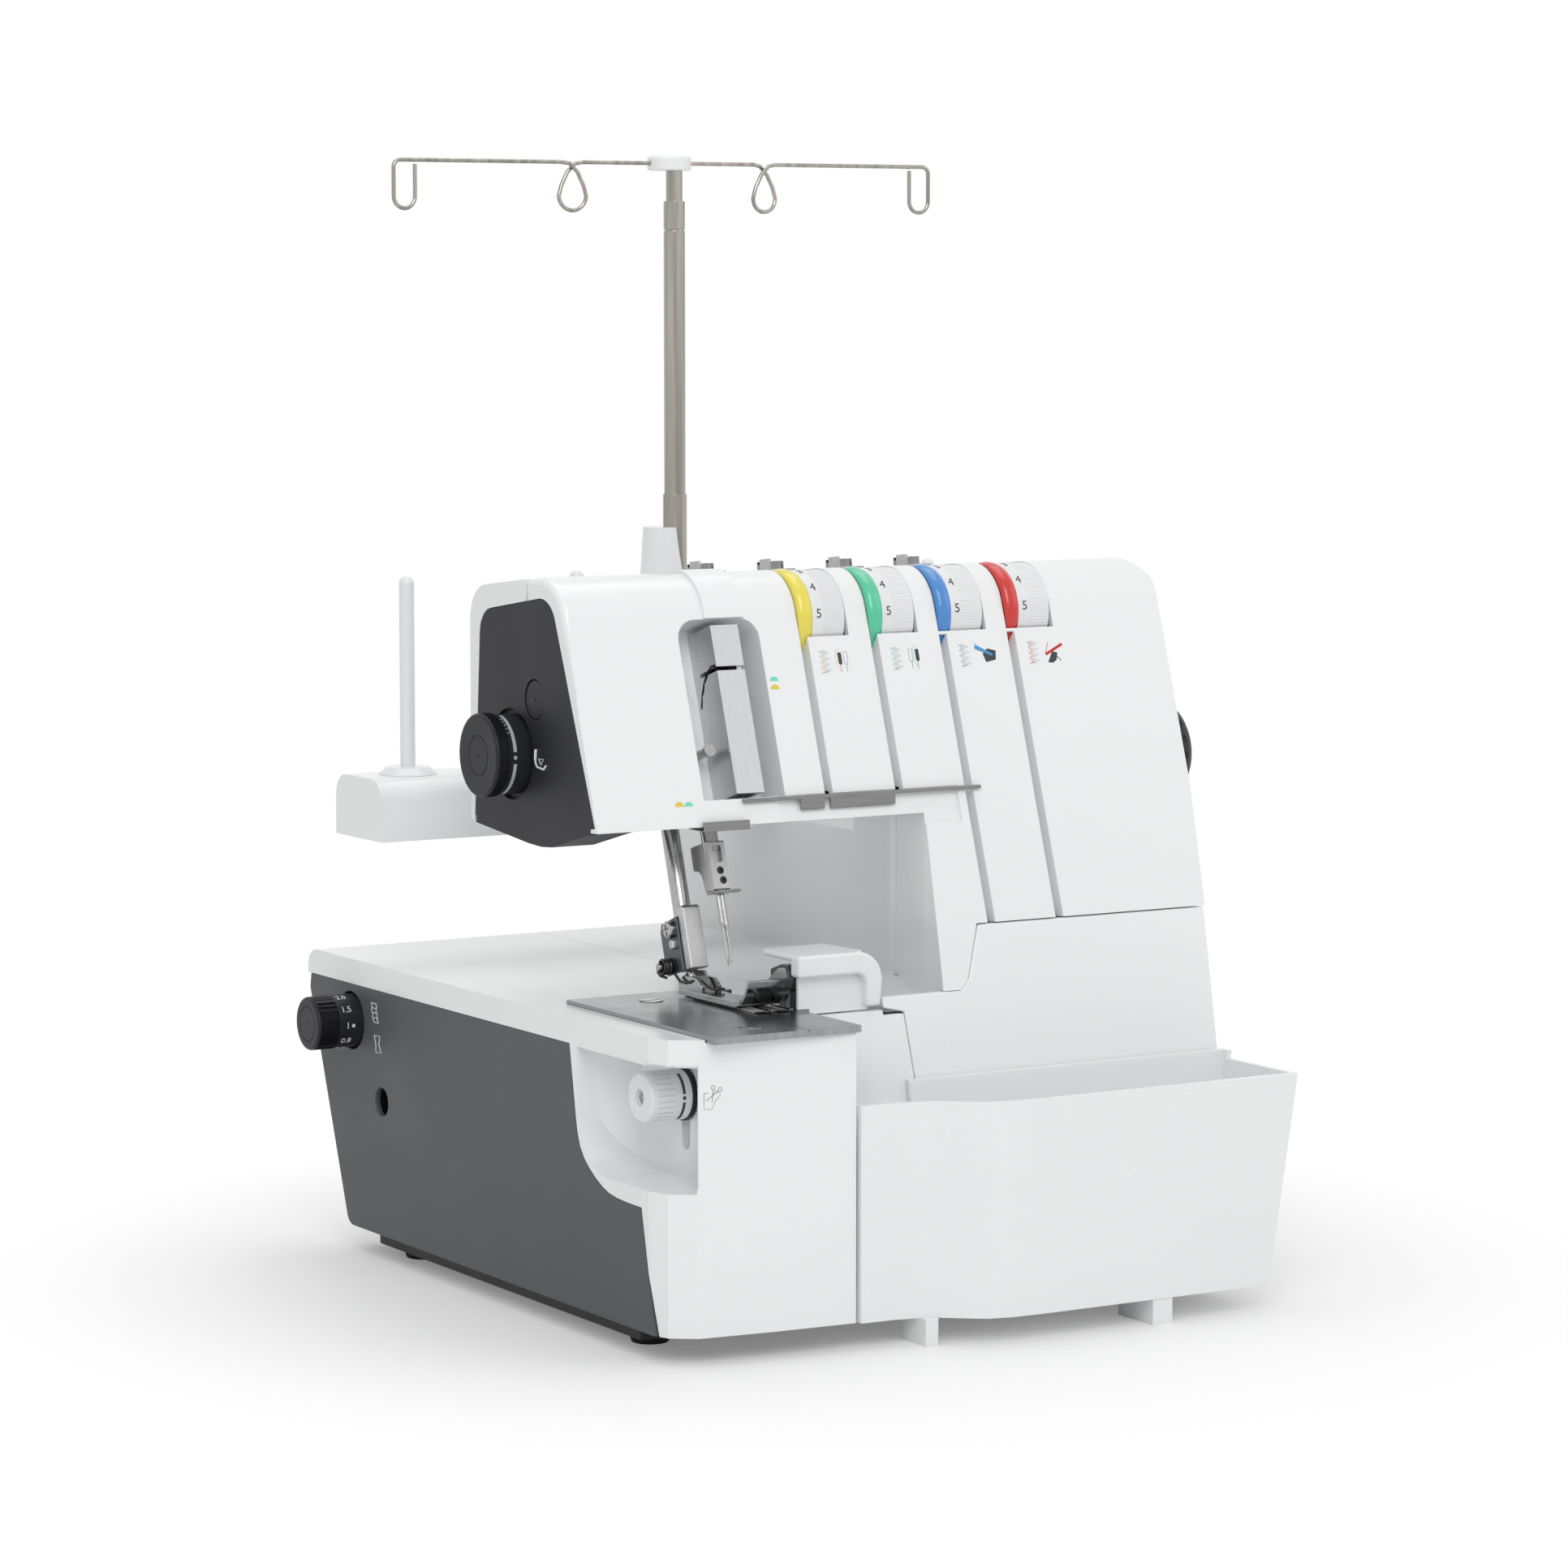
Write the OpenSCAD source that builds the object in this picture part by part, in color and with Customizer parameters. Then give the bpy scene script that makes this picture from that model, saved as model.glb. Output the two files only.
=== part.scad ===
// Serger overlock machine: four-thread domestic overlocker with thread stand and waste bin.
// X runs to the operator's right, Y away from the operator, Z up; the origin is the middle of
// the footprint, on the table.

/* [Body] */
// Width of the housing, left side face to right side face
body_w = 268; // [262:1:280]
// Depth of the base at bed height
body_d = 290; // [284:1:300]
// Height of the sewing bed above the table
bed_z = 119.5; // [116:0.5:124]
// Height of the arm's top face above the table
arm_top_z = 283; // [280:1:290]
// Height of the arm's front lower edge
arm_low_z = 190; // [187:1:192]
// Setback of the arm's front face at its lower edge
arm_front_y = 42.4; // [38:0.5:46]
// Lean of the arm's front face, in degrees from upright
front_lean = 18; // [16:0.5:19]
// Back face of the arm
arm_back_y = 143; // [140:1:150]
// Wall thickness of the moulded shells
wall = 3; // [2.4:0.1:3.4]
// Seam gap between two mouldings
seam = 0.3; // [0.2:0.05:0.5]
// Gap under the side walls of the base
skirt_z = 10; // [9:0.5:12]
// Lean of the base's back edge
back_lean = 20; // [17:0.5:22]

/* [Throat and tower] */
// Left face of the tower behind the throat
tower_x = 173; // [168:1:178]
// Left edge of the pillar at the front
pillar_x = 143; // [139:1:147]
// Top of the low rear housing under the thread stand
deck_z = 172; // [166:1:176]
// Seam between the bed cover and the rear shell
bed_seam_x = 104; // [100:1:110]
// Seam between the front and rear shells of the arm
arm_seam_y = 98; // [94:1:104]

/* [Head] */
// Thickness of the dark head panel and the dark base panel
panel_t = 2.6; // [2:0.1:3]
// Width of the white rim round the head panel
head_rim = 8; // [6:0.5:10]
// Lowest point of the head's belly
belly_z = 181; // [179:0.5:185]
// Width of the belly along the arm
belly_w = 18; // [14:1:24]

/* [Needle and presser] */
// Where the needle line meets the plate, from the front left corner
needle_y = 59; // [57:0.5:61]
// Lean of the needle and presser bars
bar_lean = 17; // [15:0.5:18]
// Needle bar diameter
needle_bar_d = 6.6; // [6:0.1:7.2]
// Where the presser bar's line meets the plate
presser_y = 73.6; // [72:0.2:76]
// Presser bar diameter
presser_d = 7; // [6:0.1:7.4]

/* [Needle plate] */
// Left edge of the needle plate
plate_x = 15; // [13:0.5:17]
// Width of the needle plate
plate_w = 62; // [60:0.5:62.5]
// Front edge of the needle plate
plate_y = -17.5; // [-18:0.5:-16]
// Depth of the needle plate
plate_d = 112; // [108:1:114]
// Thickness of the needle plate
plate_t = 2.6; // [2.2:0.1:2.8]
// Height that the plate stands above the bed
plate_rise = 1.5; // [1:0.1:1.8]

/* [Tension dials] */
// Number of thread paths
threads = 4; // [4:1:4]
// Left lip of the first thread groove
groove_x = 99.8; // [99:0.1:100.6]
// Distance from one thread path to the next
pitch = 31.4; // [31:0.1:31.6]
// Width of a thread groove
groove_w = 3.6; // [3:0.1:4]
// Depth of a thread groove
groove_d = 6.5; // [5:0.5:7]
// Radius of a tension dial
dial_r = 19; // [18:0.25:19.4]
// Width of a tension dial's white drum
dial_w = 14.4; // [13.6:0.1:14.6]
// Width of the coloured ring beside a drum
ring_w = 6; // [5.4:0.1:6.2]
// Height of the dial axis
dial_z = 263.5; // [262.5:0.25:264]
// Setback of the dial axis
dial_y = 83.2; // [82.5:0.1:84]
// Diameter of a tension post
post_d = 6; // [5:0.5:7]

/* [Knobs] */
// Diameter of the foot pressure dial
pressure_d = 32; // [28:0.5:34]
// Height that the pressure dial stands out
pressure_h = 14; // [12:0.5:15]
// Diameter of the differential feed dial
diff_d = 22; // [20:0.5:24]
// Height that the differential feed dial stands out
diff_h = 19.5; // [17:0.5:21]
// Diameter of the cutting-width knob
cut_d = 19; // [17:0.5:20]
// Length of the cutting-width knob
cut_h = 19; // [17:0.5:20]
// Diameter of the handwheel
wheel_d = 44; // [40:1:50]
// Height that the handwheel stands out
wheel_h = 23; // [20:0.5:25]

/* [Thread stand] */
// Length of the spool stand
stand_w = 290; // [286:1:292]
// Depth of the spool stand
stand_d = 41; // [38:0.5:44]
// Height of the spool stand's bar
stand_h = 24.5; // [22:0.5:26]
// Setback of the spool pins and the pole
stand_y = 221; // [216:0.5:224]
// Distance from the pole to the inner spool pins
pin_inner = 46; // [44:0.5:48]
// Distance from the pole to the outer spool pins
pin_outer = 123; // [120:0.5:125]
// Spool pin diameter
pin_d = 6; // [5:0.1:7]
// Height of the spool pins above the bar
pin_h = 79; // [72:1:84]
// Height of the column's top above the table
column_z = 292; // [288:1:296]
// Diameter of the pole's base tube
tube_d = 9.8; // [9.4:0.1:10.4]
// Diameter of the sliding pole
pole_d = 8.8; // [8.4:0.1:8.8]
// Height of the antenna wire above the table
antenna_z = 440; // [430:1:450]
// Diameter of the antenna wire
wire_d = 1.8; // [1.6:0.1:2.2]

/* [Waste bin] */
// Right end of the bin at its top
bin_right = 260.5; // [256:0.5:264]
// Height of the bin's rim above the table
bin_z = 91; // [86:1:94]
// Front of the bin's wide part
bin_y = -39; // [-42:0.5:-37]
// Front of the bin's narrow part
bin_step_y = -18.5; // [-19.5:0.5:-17.5]
// Wall thickness of the bin
bin_wall = 2.2; // [1.8:0.1:2.6]

/* [Hidden] */
$fn = 64;
gap = 0.3;
mid_x = (body_w + wheel_h - diff_h) / 2;
mid_y = (body_d + bin_y) / 2;
taper = [[10, 19.5], [92, 8.7], [148, 3.2], [195, 0], [300, 0]];
top_lean = 6.3;
arm_round = 20;
back_round = 14;
side_round = 11.5;
bed_round = 8;
panel_top_z = 109.4;
base_back_y = body_d - 34;
// Centres on the left side, from the edges that they lie by.
diff_y = base_back_y - 5.7;
diff_z = bed_z - 25.2;
pressure_y = arm_back_y - 33;
pressure_z = arm_low_z + 24.2;
plug_y = pressure_y - 19;
plug_z = pressure_z + 21.8;
cut_y = 25;
cut_z = bed_z - 25.5;
deck_back_y = body_d - 2;
cut_x = plate_x + plate_w;
bin_x = cut_x - 0.5;
needle_x = cut_x - 9;
presser_x = needle_x - 8.5;
door_x = bin_x + 42.5;
door_tab_x = door_x - 9;
upright_x = body_w - 62;
upright_w = 6;
door_top_z = 148;
door_knee_z = 92;
door_low_lean = 12;
ledge_t = 2;
shell_in_x = panel_t + ledge_t;
round_z = arm_top_z - arm_round - 1;
round_y = front_y(round_z) + arm_round / cos(front_lean);
back_round_y = arm_back_y - back_round;
back_round_z = round_z + (arm_round - back_round) / cos(top_lean)
    - tan(top_lean) * (back_round_y - round_y);

// Face positions at a height: arm and tower front, door, right side, backs of the base.
function front_y(z) = arm_front_y + tan(front_lean) * (z - arm_low_z);
function door_y(z) = z > door_knee_z ? front_y(z)
    : front_y(door_knee_z) - tan(door_low_lean) * (door_knee_z - z);
function side_x(z) = body_w - lookup(z, taper);
function back_y(z) = min(body_d, base_back_y + tan(back_lean) * (z - skirt_z));
function arc(cy, cz, r, a, b, n) =
    [for (i = [0:n]) [cy + r * cos(a + (b - a) * i / n), cz + r * sin(a + (b - a) * i / n)]];
function bar_y(y, z) = y + tan(bar_lean) * (z - bed_z);

module to_origin() {
    translate([-mid_x, -mid_y, 0]) children();
}

// Sweeps a side view (Y, Z) along X, and a front view (X, Z) along Y.
module along_x(x0, x1) {
    translate([x0, 0, 0]) rotate([90, 0, 90]) linear_extrude(x1 - x0) children();
}

module along_y(y0, y1) {
    translate([0, y1, 0]) rotate([90, 0, 0]) linear_extrude(y1 - y0) children();
}

module span(lo, hi) {
    translate(lo) cube(hi - lo);
}

// A place on the leaning front face: local Z runs up the face, local Y into the body.
module on_front(x, z) {
    translate([x, front_y(z), z]) rotate([-front_lean, 0, 0]) children();
}

// A place on a leaning bar's axis, at a height above the table.
module on_bar(x, y, z) {
    translate([x, bar_y(y, z), z]) rotate([-bar_lean, 0, 0]) children();
}

module rod_x(x0, x1, y, z, d) {
    translate([x0, y, z]) rotate([0, 90, 0]) cylinder(d = d, h = x1 - x0);
}

function arm_outline(d) = concat(
    [[front_y(arm_low_z + d) + d / cos(front_lean), arm_low_z + d]],
    arc(round_y, round_z, arm_round - d, 180 - front_lean, 90 - top_lean, 10),
    arc(back_round_y, back_round_z, back_round - d, 90 - top_lean, 0, 8),
    [[arm_back_y - d, arm_low_z - 3.5 + d]]);

module envelope(d) {
    along_y(-60, 320) polygon(concat(
        [for (p = concat([[-5, taper[0][1]]], [for (i = [0:3]) taper[i]])) [body_w - p[1] - d, p[0]]],
        arc(body_w - side_round, arm_top_z - side_round, side_round - d, 0, 90, 8),
        [[-20, arm_top_z - d], [-20, -5]]));
}

module front_half(d) {
    along_x(-20, 300) polygon([[front_y(60) + d, 60], [front_y(arm_top_z) + d, arm_top_z],
        [320, arm_top_z], [320, 60]]);
}

module arm_solid(x0, d) {
    intersection() {
        along_x(x0, 300) polygon(arm_outline(d));
        envelope(d);
    }
}

module tower_solid(z0, d) {
    intersection() {
        translate([0, 0, z0]) linear_extrude(arm_low_z + 10 - z0)
            polygon([[pillar_x - 6 + d, 18], [pillar_x + d, 43.6], [tower_x + d, 118],
                [tower_x + d, arm_back_y - d], [300, arm_back_y - d], [300, 0], [pillar_x + d, 0]]);
        front_half(d * 1.05);
        envelope(d);
    }
}

module deck_solid(d) {
    intersection() {
        span([tower_x + d, 118 + d, 100], [300, deck_back_y - d, deck_z - d]);
        envelope(d);
    }
}

module base_outline(y0, d) {
    polygon(concat([[y0, -1], [back_y(skirt_z) - d, -1], [back_y(skirt_z) - d, skirt_z]],
        [[body_d - d, back_lean_top()]],
        arc(body_d - bed_round, bed_z - bed_round, bed_round - d, 0, 90, 6),
        [[y0, bed_z - d]]));
}

function back_lean_top() = skirt_z + (body_d - base_back_y) / tan(back_lean);

module shells(d, tower_z) {
    arm_solid(d > 0 ? shell_in_x : 0, d);
    tower_solid(d > 0 ? tower_z - 8 : tower_z, d);
    deck_solid(d);
}

// The head panel's outline, drawn in by d from its seat.
module head_outline(d) {
    polygon(concat([[front_y(192) + 1.6 + d, 192 + d]],
        arc(round_y - 1, round_z, arm_round - head_rim - d, 180 - front_lean, 90 - top_lean, 8),
        arc(back_round_y - 4, back_round_z - 5, back_round - 4 - d, 90 - top_lean, 0, 6),
        [[arm_back_y - 3.4 - d, arm_low_z - 1.5 + d], [104, arm_low_z - 1.5 + d],
        [60, arm_low_z + d]]));
}

module base_tray() {
    color("dimgray") {
        translate([0, 0, 3.5]) linear_extrude(skirt_z - 3.5)
            polygon([[7, 24], [bin_x + 3.5, 10], [body_w - 28, 10], [body_w - 28, base_back_y - 16],
                [7, base_back_y - 16]]);
        translate([0, 0, skirt_z]) linear_extrude(3)
            polygon([[panel_t, 14], [14, 3], [bin_x - 4.3, 3], [bin_x - 4.3, 61], [bin_x + 1, 61], [bin_x + 1, 6],
                [body_w - 22.6, 6], [body_w - 22.6, base_back_y - 3], [panel_t, base_back_y - 3]]);
    }
}

module foot_pads() {
    color("black") for (x = [18, body_w - 42], y = [36, base_back_y - 34]) translate([x, y, 0]) {
        cylinder(d1 = 14, d2 = 16, h = 3.5);
    }
}

module panel_outline(d) {
    polygon([[1 + d, skirt_z], [base_back_y - d, skirt_z], [back_y(panel_top_z) - d - 0.5, panel_top_z - d],
        [65 + d, panel_top_z - d], [59 + d, 75 - d], [52.3 + d, 63.8 - d], [35 + d, 56.2 - d],
        [10.5 + d, 56.2 - d]]);
}

module left_panel() {
    color("dimgray") difference() {
        along_x(0, panel_t) panel_outline(0);
        rod_x(-1, panel_t + 1, diff_y - 27.3, diff_z - 29.7, 11.5);
        rod_x(-1, panel_t + 1, diff_y, diff_z, diff_d + 1.4);
    }
}

module cover_plan(d) {
    polygon([[d, 60], [d, 5], [3 + d, -4 + d], [12, -10.5 + d], [42, -14 + d], [75.5 - d, -16.4 + d],
        [75.5 - d, 60]]);
}

module scoop(d) {
    translate([0, 0, 65 - d]) linear_extrude(45 + 2 * d)
        polygon([[-1, -30], [11 + d, -30], [11 + d, -12], [17 + d, -4], [23 + d, 5], [27 + d, 14],
            [27 + d, 42 + d], [0, 56 + d], [-1, 56 + d]]);
}

module bed_cover() {
    color("white") difference() {
        union() {
            difference() {
                union() {
                    along_x(0, bed_seam_x) base_outline(46, 0);
                    translate([0, 0, skirt_z]) linear_extrude(bed_z - skirt_z) cover_plan(0);
                }
                along_x(wall, bed_seam_x + 1) base_outline(46, wall);
                translate([0, 0, -1]) linear_extrude(bed_z - wall + 1) cover_plan(wall);
                span([-1, 60, -5], [bed_seam_x + 1, body_d + 1, panel_top_z]);
                span([-1, -60, -5], [bed_seam_x + 1, 61, skirt_z]);
            }
            intersection() {
                scoop(wall);
                translate([0, 0, skirt_z]) linear_extrude(bed_z - skirt_z) cover_plan(0);
            }
        }
        scoop(0);
        along_x(-1, wall + 0.1) offset_panel();
        span([plate_x - seam, plate_y - 9, bed_z + plate_rise - plate_t],
            [cut_x + seam, plate_y + plate_d + seam, bed_z + 9]);
        span([cut_x - 27, 8, 100], [cut_x - 3, 90, bed_z + 9]);
        span([cut_x - 4, 24, 100], [91, 66, bed_z + 9]);
        plate_screw_holes();
        rod_x(20, 40, 25, 84, 5);
        span([26, 23.6, 73], [40, 26.4, 84]);
    }
}

module offset_panel() {
    polygon([[-1.1 - seam, 0], [base_back_y, 0], [back_y(panel_top_z), panel_top_z],
        [65 - seam, panel_top_z], [59 - seam, 75], [52.3, 63.8 + seam], [35, 56.2 + seam],
        [10.5 - seam, 56.2 + seam]]);
}

module front_frame() {
    cover_top = door_knee_z + 27.4;
    floor_right = body_w - 28;
    color("white") {
        along_x(bin_x + 1, bin_x + 3) polygon([[12, 13], [12, 16], [door_y(16) + 1, 16], [door_y(92) + 1, 92],
            [door_y(cover_top) + 1, cover_top], [door_y(cover_top) + wall + 1, cover_top],
            [door_y(110) + wall + 1, 110], [95, 110], [95, 13]]);
        span([bin_x + 1, 12, 13], [floor_right, 95, 16]);
        span([bin_x + 1, 95, 13], [floor_right, 98, bed_z - wall]);
        intersection() {
            door_slab(bin_x + 1, door_x);
            along_y(-60, 120) polygon([[bin_x + 1, 16], [door_x - 0.6, 16], [door_x - 0.6, cover_top - 2],
                [door_tab_x - 0.6, cover_top - 2], [door_tab_x - 0.6, cover_top], [bin_x + 1, cover_top]]);
        }
        span([bin_x + 1, door_y(16) + 1, 16], [door_x - 1.6, 14, 19]);
        difference() {
            envelope(0);
            envelope(wall);
            span([-30, -70, -10], [150, 330, 300]);
            span([-30, -70, door_top_z - 0.6], [body_w + 32, 330, 300]);
            span([-30, 98, -10], [body_w + 32, 330, 300]);
            span([-30, -70, -10], [body_w + 32, 330, skirt_z]);
            along_x(150, body_w + 32) polygon([[-70, -5], [door_y(10) + 4.4, -5], [door_y(10) + 4.4, 10],
                [door_y(92) + 4.4, 92], [door_y(150) + 4.4, 150], [-70, 150]]);
        }
        span([body_w - 32, 60, 13], [side_x(16) - 1, 98, 16]);
    }
}

module rear_shell() {
    color("white") difference() {
        union() {
            shells(0, bed_z - 12);
            intersection() {
                along_x(panel_t, 300) base_outline(98, 0);
                envelope(0);
            }
            translate([0, 0, bed_z - wall]) linear_extrude(wall)
                polygon([[bed_seam_x, 30], [pillar_x + 2, 30], [pillar_x + 4, 43.6], [168.5, 104],
                    [bed_seam_x, 104]]);
        }
        shells(wall, bed_z - 12);
        intersection() {
            along_x(-5, 300) base_outline(98 - 1, wall);
            envelope(wall);
        }
        span([-5, 97, panel_top_z], [bed_seam_x + seam, body_d + 5, bed_z + 1]);
        span([-5, -70, -10], [300, 330, skirt_z]);
        span([-20, -70, bed_z], [300, arm_seam_y + seam, 300]);
        span([-20, -70, -5], [300, 30, 300]);
        span([-20, -70, -5], [300, 98, bed_z - wall]);
        span([pillar_x + 20, -70, -5], [300, 98, bed_z + 1]);
        along_x(-1, panel_t + seam) head_outline(-seam);
        along_x(panel_t - 0.1, shell_in_x + 1) head_outline(2.5);
        span(bar_gate[0], bar_gate[1]);
        guide_places() translate([0, 0, -8]) cylinder(d = 4, h = 12);
        rod_x(side_x(60) - 8, 300, 170, 60, 26);
        span([side_x(40) - 8, 206, 30], [300, 231, 44]);
        span([side_x(40) - 8, 207.5, 46.5], [300, 229.5, 60.5]);
    }
}

bar_gate = [[needle_x - 18, 66, 170], [needle_x + 16, 108, 200]];

function mid_stand() = body_w / 2 + 1;

module front_shell() {
    color("white") difference() {
        union() {
            difference() {
                union() {
                    shells(0, bed_z);
                    intersection() {
                        along_x(59, 76) polygon(arm_outline(-1.6));
                        span([50, 30, 265], [90, 84, 300]);
                    }
                }
                shells(wall, bed_z);
            }
            intersection() {
                on_front(43.5, 196) cube([42, 22, 76]);
                arm_solid(0, 0);
            }
        }
        span([-20, arm_seam_y, -5], [320, 330, 320]);
        intersection() {
            along_y(-70, 320) polygon([[pillar_x + 14.5, door_top_z], [pillar_x + 6.2, 127.6],
                [pillar_x + 1.8, 123.6], [pillar_x + 1.8, 60], [320, 60], [320, door_top_z]]);
            union() {
                along_x(0, 320) polygon([[-70, 50], [door_y(90) + wall + 0.7, 50], [door_y(92) + wall + 0.7, 92],
                    [door_y(150) + wall + 0.7, 150], [-70, 150]]);
                span([tower_x + 2, -70, 50], [320, 320, 150]);
            }
        }
        along_x(-20, 320) polygon([[0, 90], [door_y(90) + wall + 0.7, 90], [door_y(124.2) + wall + 0.7, 124.2],
            [0, 124.2]]);
        take_up_pocket();
        for (i = [0:threads - 1]) {
            on_front(groove_x + pitch * i, i < 2 ? 199.5 : door_top_z - 1)
                translate([0, -2, 0]) cube([groove_w, groove_d + 2, i < 2 ? 62 : 115]);
            span([groove_x + pitch * i, 40, 257.5], [groove_x + pitch * i + dial_w + ring_w + 1.8, 104.6, 300]);
            rod_x(groove_x + pitch * i, groove_x + pitch * i + dial_w + ring_w + 1.8, dial_y, dial_z,
                2 * dial_r + 1);
        }
        on_front(79, 186) translate([0, -2, 0]) cube([pillar_x + 16 - 79, 3.2, 14.2]);
        along_x(-1, panel_t + seam) head_outline(-seam);
        along_x(panel_t - 0.1, shell_in_x + 1) head_outline(2.5);
        span(bar_gate[0], bar_gate[1]);
        rod_x(body_w - 28, body_w + 22, wheel_y, wheel_z, 11);
    }
}

// The needle take-up lever's pocket, with its slot in the floor.
module take_up_pocket() {
    on_front(47, 199.5) translate([0, -5, 0]) intersection() {
        cube([35.3, 5 + take_up_depth, 69.5]);
        translate([0, 40, 0]) rotate([90, 0, 0]) linear_extrude(60)
            polygon(concat([[0, 0], [35.3, 0]], arc(27.3, 61.5, 8, 0, 90, 6), arc(8, 61.5, 8, 90, 180, 6)));
    }
}

take_up_depth = 18;

function under_z(y) = arm_low_z - 3.5 * (y - arm_front_y) / (arm_back_y - arm_front_y);

module head_panel() {
    color("#3e3f43") difference() {
        union() {
            along_x(0, panel_t) head_outline(0);
            along_x(0, belly_w) polygon([[front_y(arm_low_z) + 3, under_z(front_y(arm_low_z) + 3)], [62, 185.5],
                [78, belly_z + 0.6], [86, belly_z], [96, belly_z + 0.4], [arm_back_y - 4, 185.4],
                [arm_back_y - 4, under_z(arm_back_y - 4)]]);
        }
        rod_x(-1, 2, pressure_y, pressure_z, pressure_d + 2.6);
        rod_x(-1, 1.2, plug_y, plug_z, 15.6);
    }
}

module head_plug() {
    color("#3e3f43") rod_x(0.2, 1.2, plug_y, plug_z, 15);
}

module door_outline(d) {
    polygon([[door_x + d, 16], [side_x(16) - 0.6, 16], [side_x(92) - 0.6, 92],
        [side_x(door_top_z) - 0.6, door_top_z - 0.5], [pillar_x + 15.2, door_top_z - 0.5],
        [pillar_x + 7, 128], [pillar_x + 2.6, door_knee_z + 32], [door_tab_x + d, door_knee_z + 32],
        [door_tab_x + d, door_knee_z + 28], [door_x + d, door_knee_z + 26]]);
}

module door_slab(x0, x1) {
    along_x(x0, x1) polygon([[door_y(16), 16], [door_y(92), 92], [door_y(150), 150],
        [door_y(150) + wall, 150], [door_y(92) + wall, 92], [door_y(16) + wall, 16]]);
}

module looper_door() {
    color("white") intersection() {
        door_slab(bin_x, body_w + 32);
        along_y(-60, 120) door_outline(0);
    }
}

guide_z = 142.5;

module fabric_guide() {
    left = door_tab_x - 39;
    right = door_tab_x - 3;
    color("white") {
        span([left, 19, guide_z - 2.4], [right, 46, guide_z]);
        span([left, 16.8, guide_z - 8.3], [right, 19.4, guide_z]);
        span([right - 6.2, 16.8, door_knee_z + 30], [right, 23, guide_z]);
        span([right - 6.2, 18, door_knee_z + 28], [door_tab_x, 23, door_knee_z + 32]);
    }
}

module bin_plan(d) {
    polygon([[bin_x + d, 60], [bin_x + d, bin_step_y + d], [bin_x + 13.5, bin_step_y - 0.6 + d], [99, bin_step_y - 2.5 + d],
        [107, bin_step_y - 6 + d], [114, -30 + d], [121, -35.2 + d], [130, bin_y + 1.4 + d], [142, bin_y + 0.6 + d],
        [300, bin_y + d], [300, 60]]);
}

module bin_solid(z0, d, top) {
    intersection() {
        translate([0, 0, z0]) linear_extrude(top - z0) bin_plan(d);
        along_y(-60, 60) polygon([[bin_x + d, z0], [bin_right - 13 - d, z0], [bin_right - 13 - d, 10],
            [bin_right - d + 0.6, 96], [bin_x + d, 96]]);
        along_x(60, 290) polygon([[-60, 0], [door_y(10) - 0.9 - d, 0], [door_y(10) - 0.9 - d, 10],
            [door_y(92) - 0.9 - d, 92], [door_y(99) - 0.9 - d, 99], [-60, 99]]);
    }
}

module waste_bin() {
    color("white") {
        difference() {
            bin_solid(10, 0, bin_z + 3);
            bin_solid(12.5, bin_wall, 100);
            span([0, -60, bin_z], [300, 4.5, 110]);
            span([0, -14, bin_z - 8], [114, 60, 110]);
        }
        span([100, -26, 0], [105.5, -9.6, 10.5]);
        span([194, -38, 0], [203, -15, 10.5]);
    }
}

plate_top = bed_z + plate_rise;

plate_screw_at = [[40, -0.5], [41, 75.4]];

module plate_screw_holes() {
    for (p = plate_screw_at) translate([p[0], p[1], plate_top - 12]) cylinder(d = 3.4, h = 20);
}

module needle_plate() {
    color("silver") difference() {
        span([plate_x, plate_y, plate_top - plate_t], [cut_x, plate_y + plate_d, plate_top]);
        span([cut_x - 22.6, plate_y - 1, plate_top - 0.6], [cut_x - 22.2, 20, plate_top + 1]);
        span([cut_x - 19.8, 23, 100], [cut_x - 12.6, 79.4, plate_top + 1]);
        span([cut_x - 11.4, 23, 100], [cut_x - 5, 50, plate_top + 1]);
        span([cut_x - 11.4, 64.4, 100], [cut_x - 5, 79.4, plate_top + 1]);
        span([needle_x - 2, 53, 100], [needle_x + 5, 61.6, plate_top + 1]);
        span([cut_x - 2.8, 26, 100], [cut_x + 1, 66, plate_top + 1]);
        for (p = plate_screw_at) translate([p[0], p[1], plate_top - 1.6]) cylinder(d = 9.4, h = 5);
        plate_screw_holes();
    }
}

module plate_screws() {
    color("silver") for (p = plate_screw_at) translate([p[0], p[1], 0]) difference() {
        union() {
            translate([0, 0, plate_top - 1.6]) cylinder(d = 8.8, h = 1.9);
            translate([0, 0, plate_top - 9]) cylinder(d = 3.4, h = 8);
        }
        translate([-5, -0.6, plate_top - 0.8]) cube([10, 1.2, 3]);
    }
}

module teeth(y0, y1, z) {
    polygon(concat([[y0, z - 3]], [for (i = [0:floor((y1 - y0) / 2.4) - 1])
        each [[y0 + i * 2.4, z], [y0 + i * 2.4 + 2.4, z - 0.9]]], [[y1, z - 3]]));
}

module feed_dogs() {
    dog_top = plate_top + 0.6;
    left = [cut_x - 19, cut_x - 13.4];
    right = [cut_x - 10.6, cut_x - 5.8];
    color("silver") {
        along_x(left[0], left[1]) teeth(27, 75, dog_top);
        along_x(right[0], right[1]) teeth(27, 46, dog_top);
        along_x(right[0], right[1]) teeth(68.4, 75.6, dog_top);
        span([left[0], 27, dog_top - 12], [left[1], 75, dog_top - 2.9]);
        span([right[0], 27, dog_top - 12], [right[1], 46, dog_top - 2.9]);
        span([right[0], 68.4, dog_top - 12], [right[1], 75, dog_top - 2.9]);
        span([left[0], 44, dog_top - 16], [left[1], 91, dog_top - 9]);
        span([left[0], 27, dog_top - 16], [right[1], 46, dog_top - 10]);
        span([left[0], 68.4, dog_top - 16], [right[1], 91, dog_top - 10]);
    }
}

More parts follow.
